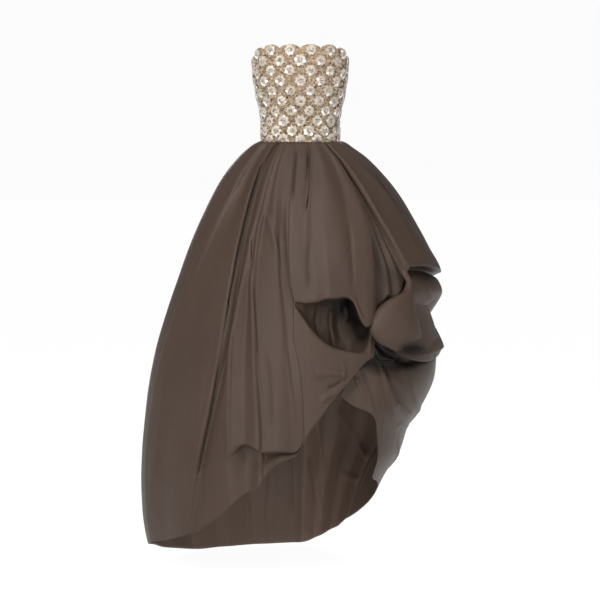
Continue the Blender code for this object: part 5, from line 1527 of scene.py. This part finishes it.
def petals(name, surface, height, rng):
    """Make the petals round each flower, each with its own tilt and tone.

    Those that would reach below the bodice are left out. Those that point down are more often
    painted lighter as a painted highlight, and all are lighter along the edge.
    """
    look = bpy.context.scene.gown_beads
    point, out, across, up = (values[:, None] for values in surface)
    count = len(point)
    turns = np.arange(look.petals) * 2 * pi / look.petals
    spin = (rng.uniform(0.0, pi, count)[:, None] + turns)[..., None]
    way = across * np.cos(spin) + up * np.sin(spin)
    each = way.shape[:2]
    side = np.cross(way, out)
    out = np.broadcast_to(out, way.shape)
    size = np.broadcast_to(rng.normal(1.0, FLOWER_SPREAD, count)[:, None], each)
    keep = (height[:, None] + way[..., 2] * look.petal_length * PETAL_REACH > PETAL_FLOOR).ravel()
    flower_tone = rng.uniform(0.0, FLOWER_TONE, count)[:, None]
    # Painted highlight: some petals, more often those pointing down, are painted towards the light shell
    # colour.
    painted_highlight = rng.uniform(0.0, 1.0, each) < PAINTED_HIGHLIGHT_SHARE - PAINTED_HIGHLIGHT_LOWER * way[..., 2]
    tone = flower_tone + painted_highlight * rng.uniform(*PAINTED_HIGHLIGHT_TONES, each)
    tone = np.clip(tone + rng.normal(0.0, PETAL_TONE_SPREAD, each), 0.0, 1.0)
    tilt = rng.normal(0.0, PETAL_TILT, each)[..., None, None]
    axes = np.stack([side, way, out], 2) + tilt * np.stack([out, np.zeros_like(way), -side], 2)
    grid, quads = petal_grid(look)
    centres = np.broadcast_to(point, way.shape).reshape(-1, 3)[keep]
    corners, faces = repeated(grid, quads, centres, axes.reshape(-1, 3, 3)[keep], size.ravel()[keep])
    edge = np.zeros((PETAL_ROWS, PETAL_COLUMNS))
    edge[-1] = edge[2:, 0] = edge[2:, -1] = PETAL_EDGE
    tone = np.clip(tone.ravel()[keep][:, None] + edge.ravel() - PETAL_EDGE / 3, 0.0, 1.0)
    finish = material("gown_petals", toned_look, look.petal_colour, SHELL_AND_HIGHLIGHT,
                      roughness=0.26, metallic=0.12, grain=0.08)
    thicken(joined_object(name, corners, faces, tone, finish), PETAL_THICKNESS)


def flower_beads(name, surface, rng):
    """Make the beads of each flower: a ring, a ring of half as many inside it and a middle one."""
    bead = bpy.context.scene.gown_beads.bead
    ring = bpy.context.scene.gown_beads.ring
    point, out, across, up = (values[:, None] for values in surface)
    turn = (np.arange(RING_BEADS) * 2 * pi / RING_BEADS)[None, :, None]
    way = across * np.cos(turn) + up * np.sin(turn)
    stand = out * RING_STAND
    rings = [point + way * ring + stand, point + way[:, ::2] * ring * INNER_RING + stand]
    places = np.concatenate(rings + [point + stand * MIDDLE_STAND], axis=1).reshape(-1, 3)
    places = places[places[:, 2] > RING_FLOOR]
    count = len(places)
    sizes = rng.normal(bead * RING_BEAD, bead * RING_BEAD_SPREAD, count)
    beads(name, places, sizes, rng.uniform(0.0, 1.0, count), ring_finish())


def ground_beads(node, first, last, seed):
    """Scatter beads over the ground of a panel, on a staggered grid shaken a little.

    Beads that would lie under a flower's petals are left out.
    """
    look = bpy.context.scene.gown_beads
    rng = np.random.default_rng(seed)
    across_count = int((last - first) * BODICE_ROUND / FLOWER_COLUMNS / look.bead_pitch)
    down_count = int(BODICE_HEIGHT / (look.bead_pitch * ROW_CLOSE))
    column, row = np.meshgrid(np.arange(across_count), np.arange(down_count))
    share = (column + FIRST_COLUMN + 0.5 * (row % 2)) / across_count
    angle = blend(first, last, share) * COLUMN_ANGLE + rng.normal(0.0, SHAKE_ROUND, share.shape)
    height = (row + FIRST_ROW) * look.bead_pitch * ROW_CLOSE + rng.normal(0.0, SHAKE_DOWN, row.shape)
    inside = (height < top_edge(angle) - TOP_CLEAR) & (np.abs(angle) < 180.0 - ZIP_CLEAR)
    angle = angle[inside]
    height = height[inside]
    point = bodice_point(angle, height, BEAD_OUT)
    places = np.vstack([flower_places(first - 1, last), flower_places(last, last + 1)])
    clear = np.ones(len(point), bool)
    for spot in bodice_point(places[:, 0], places[:, 1], BEAD_OUT):
        clear &= np.linalg.norm(point - spot, axis=1) > UNDER_PETALS
    count = clear.sum()
    sizes = rng.normal(look.bead, look.bead * BEAD_SPREAD, count)
    sizes = np.clip(sizes, look.bead * BEAD_LEAST, look.bead * BEAD_MOST)
    round_way = np.radians(angle[clear]) * BODICE_ROUND / (2 * pi)
    patch = soft_noise(round_way, height[clear], (BEAD_PATCH, BEAD_PATCH), seed + PATCH_SEED)
    tone = BEAD_TONE + PATCH_TONE * patch + rng.normal(0.0, BEAD_TONE_SPREAD, count)
    beads(node + "_ground_beads", point[clear], sizes, np.clip(tone, 0.0, 1.0), ground_finish())


def edge_beads(name, angle, height, out, radius, seed):
    """Lay a row of beads along a line on the bodice."""
    rng = np.random.default_rng(seed)
    sizes = rng.normal(radius, radius * EDGE_BEAD_SPREAD, len(angle))
    tone = rng.uniform(*EDGE_TONES, len(angle))
    beads(name, bodice_point(angle, height, out), sizes, tone, ground_finish())


class GOWN_OT_skirt_front_right(bpy.types.Operator):
    """Make the front right skirt panel"""
    bl_idname = "gown.skirt_front_right"
    bl_label = "Front right panel"

    def execute(self, context):
        seams = {0: fixed(RIGHT_SIDE_SEAM), -1: seam_angle}
        skirt_cloth("skirt_front_right", right_fields(), seams)
        return {"FINISHED"}


class GOWN_OT_skirt_front_left(bpy.types.Operator):
    """Make the front left skirt panel with its drape, hollow and cowl"""
    bl_idname = "gown.skirt_front_left"
    bl_label = "Front left panel"

    def execute(self, context):
        skirt_cloth("skirt_front_left", left_fields(), {0: seam_angle})
        return {"FINISHED"}


class GOWN_OT_side_drape(bpy.types.Operator):
    """Make the side drape with its two bubbles"""
    bl_idname = "gown.side_drape"
    bl_label = "Side drape"

    def execute(self, context):
        skirt_cloth("side_drape", side_fields(), {-1: fixed(LEFT_BACK_SEAM)})
        return {"FINISHED"}


class GOWN_OT_side_puff(bpy.types.Operator):
    """Make the rolled puff with its open mouth"""
    bl_idname = "gown.side_puff"
    bl_label = "Side puff"

    def execute(self, context):
        skirt_cloth("side_puff", scroll_fields(), {})
        return {"FINISHED"}


class GOWN_OT_skirt_backs(bpy.types.Operator):
    """Make the back gores"""
    bl_idname = "gown.skirt_backs"
    bl_label = "Back gores"

    def execute(self, context):
        for row in BACK_PANELS:
            gore = dict(zip(BACK_COLUMNS, row))
            seams = {0: fixed(gore["start"]), -1: fixed(gore["end"])}
            skirt_cloth(gore["name"], back_fields(gore), seams)
        return {"FINISHED"}


class GOWN_OT_bodice(bpy.types.Operator):
    """Make the net ground of the bodice"""
    bl_idname = "gown.bodice"
    bl_label = "Bodice ground"

    def execute(self, context):
        for name, first, last in BODICE_PANELS:
            bodice_cloth(name, first, last)
        return {"FINISHED"}


class GOWN_OT_flowers(bpy.types.Operator):
    """Make the beaded flowers of the bodice"""
    bl_idname = "gown.flowers"
    bl_label = "Flowers"

    def execute(self, context):
        for seed, (name, first, last) in enumerate(BODICE_PANELS):
            flowers(name, first, last, FLOWER_SEED + seed)
        return {"FINISHED"}


class GOWN_OT_beads(bpy.types.Operator):
    """Make the ground beads and the rows of beads along the bodice's edges"""
    bl_idname = "gown.beads"
    bl_label = "Beads"

    def execute(self, context):
        for seed, (name, first, last) in enumerate(BODICE_PANELS):
            ground_beads(name, first, last, BEAD_SEED + seed)
        around = np.linspace(-180.0 + ZIP_CLEAR, 180.0 - ZIP_CLEAR, EDGE_BEADS)
        low = np.full(EDGE_BEADS, WAIST_BEAD_HEIGHT)
        high = top_edge(around) - TOP_BEAD_DROP
        edge_beads("waist_beads", around, low, WAIST_BEAD_OUT, WAIST_BEAD, EDGE_SEED)
        edge_beads("top_edge_beads", around, high, TOP_BEAD_OUT, TOP_BEAD, EDGE_SEED + 1)
        return {"FINISHED"}


class GOWN_OT_zip(bpy.types.Operator):
    """Finish the zip: its tape, slider and pull, and its teeth up the centre back"""
    bl_idname = "gown.zip"
    bl_label = "Zip"

    def execute(self, context):
        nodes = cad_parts
        brass = material("gown_zip_brass", brass_look)
        nodes["zip_tape"].material_slots[0].material = material("gown_zip_tape", tape_look)
        nodes["zip_slider"].material_slots[0].material = brass
        nodes["zip_pull"].material_slots[0].material = brass
        height = np.arange(TOOTH_PITCH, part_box("zip_slider")[0][2] - MM, TOOTH_PITCH)
        count = len(height)
        point = bodice_point(np.full(count, CENTRE_BACK), height, TOOTH_OUT)
        point[:, 0] = np.where(np.arange(count) % 2 == 0, TOOTH_OFFSET, -TOOTH_OFFSET)
        beads("zip_teeth", point, np.ones(count), np.full(count, TOOTH_TONE), brass,
              stretch=TOOTH_SIZE, slot_name="zip_metal")
        return {"FINISHED"}


def area_light(name, place, target, size, power):
    """Add a soft oblong light at a place, turned to a target."""
    data = bpy.data.lights.new(name, "AREA")
    data.shape = "RECTANGLE"
    data.size, data.size_y = size
    data.energy = power
    light = placed(name, data)
    light.location = place
    way = Vector(target) - Vector(place)
    light.rotation_euler = way.to_track_quat("-Z", "Y").to_euler()


class GOWN_OT_stage(bpy.types.Operator):
    """Make the floor, the lights and the camera"""
    bl_idname = "gown.stage"
    bl_label = "Stage"

    def execute(self, context):
        look = context.scene.gown_stage
        turn = np.linspace(0.0, 2 * pi, STAGE_SIDES)
        radius = np.array(STAGE_RADII)[:, None]
        floor_z = CAD_BOX[0][2] - FLOOR_GAP
        points = np.stack(np.broadcast_arrays(radius * np.cos(turn), radius * np.sin(turn), floor_z), -1)
        finish = material("stage_floor", floor_look)
        grid_object("stage_floor", points, cloth_lengths(points), finish)
        for setting, place, target, size in LIGHTS:
            area_light(setting + "_light", place, target, size, getattr(look, setting))
        world = bpy.data.worlds.new("studio")
        context.scene.world = world
        world.use_nodes = True
        tree = world.node_tree
        rays = add_node(tree, "LightPath", {}).outputs["Is Camera Ray"]
        strength = map_range(tree, rays, WHOLE, (look.sky, look.backdrop))
        feed(tree, tree.nodes["Background"], {"Color": WHITE, "Strength": strength})
        context.scene.view_settings.view_transform = "Standard"
        data = bpy.data.cameras.new("camera")
        data.sensor_width = SENSOR
        data.lens = LENS
        data.shift_x = CAMERA_SHIFT
        data.clip_end = CAMERA_SIGHT
        camera = placed("camera", data)
        way = Vector((0.0, -cos(CAMERA_TILT), sin(CAMERA_TILT)))
        camera.location = Vector((0.0, 0.0, AIM_HEIGHT)) + way * CAMERA_DISTANCE
        camera.rotation_euler = (-way).to_track_quat("-Z", "Y").to_euler()
        context.scene.camera = camera
        return {"FINISHED"}


class GOWN_PT_panel(bpy.types.Panel):
    """Lists the steps that make the gown"""
    bl_label = "High-low gown"
    bl_idname = "GOWN_PT_panel"
    bl_space_type = "VIEW_3D"
    bl_region_type = "UI"
    bl_category = "Gown"

    def draw(self, context):
        scene = context.scene
        for settings in (scene.gown_cloth, scene.gown_beads, scene.gown_stage):
            for key in settings.__annotations__:
                self.layout.prop(settings, key)
        for step in STEPS:
            self.layout.operator(step.bl_idname)


STEPS = (
    GOWN_OT_skirt_front_right,
    GOWN_OT_skirt_front_left,
    GOWN_OT_side_drape,
    GOWN_OT_side_puff,
    GOWN_OT_skirt_backs,
    GOWN_OT_bodice,
    GOWN_OT_flowers,
    GOWN_OT_beads,
    GOWN_OT_zip,
    GOWN_OT_stage,
)
SETTINGS = (
    ("gown_cloth", GownClothSettings),
    ("gown_beads", GownBeadSettings),
    ("gown_stage", GownStageSettings),
)


def register():
    """Register the settings, the steps and the panel."""
    for key, settings in SETTINGS:
        bpy.utils.register_class(settings)
        setattr(bpy.types.Scene, key, bpy.props.PointerProperty(type=settings))
    for item in STEPS + (GOWN_PT_panel,):
        bpy.utils.register_class(item)


def unregister():
    """Unregister the panel, the steps and the settings."""
    for item in (GOWN_PT_panel,) + STEPS[::-1]:
        bpy.utils.unregister_class(item)
    for key, settings in SETTINGS[::-1]:
        delattr(bpy.types.Scene, key)
        bpy.utils.unregister_class(settings)


def main():
    """Register the add-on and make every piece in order."""
    register()
    for step in STEPS:
        group, action = step.bl_idname.split(".")
        getattr(getattr(bpy.ops, group), action)()


if __name__ == "__main__":
    main()
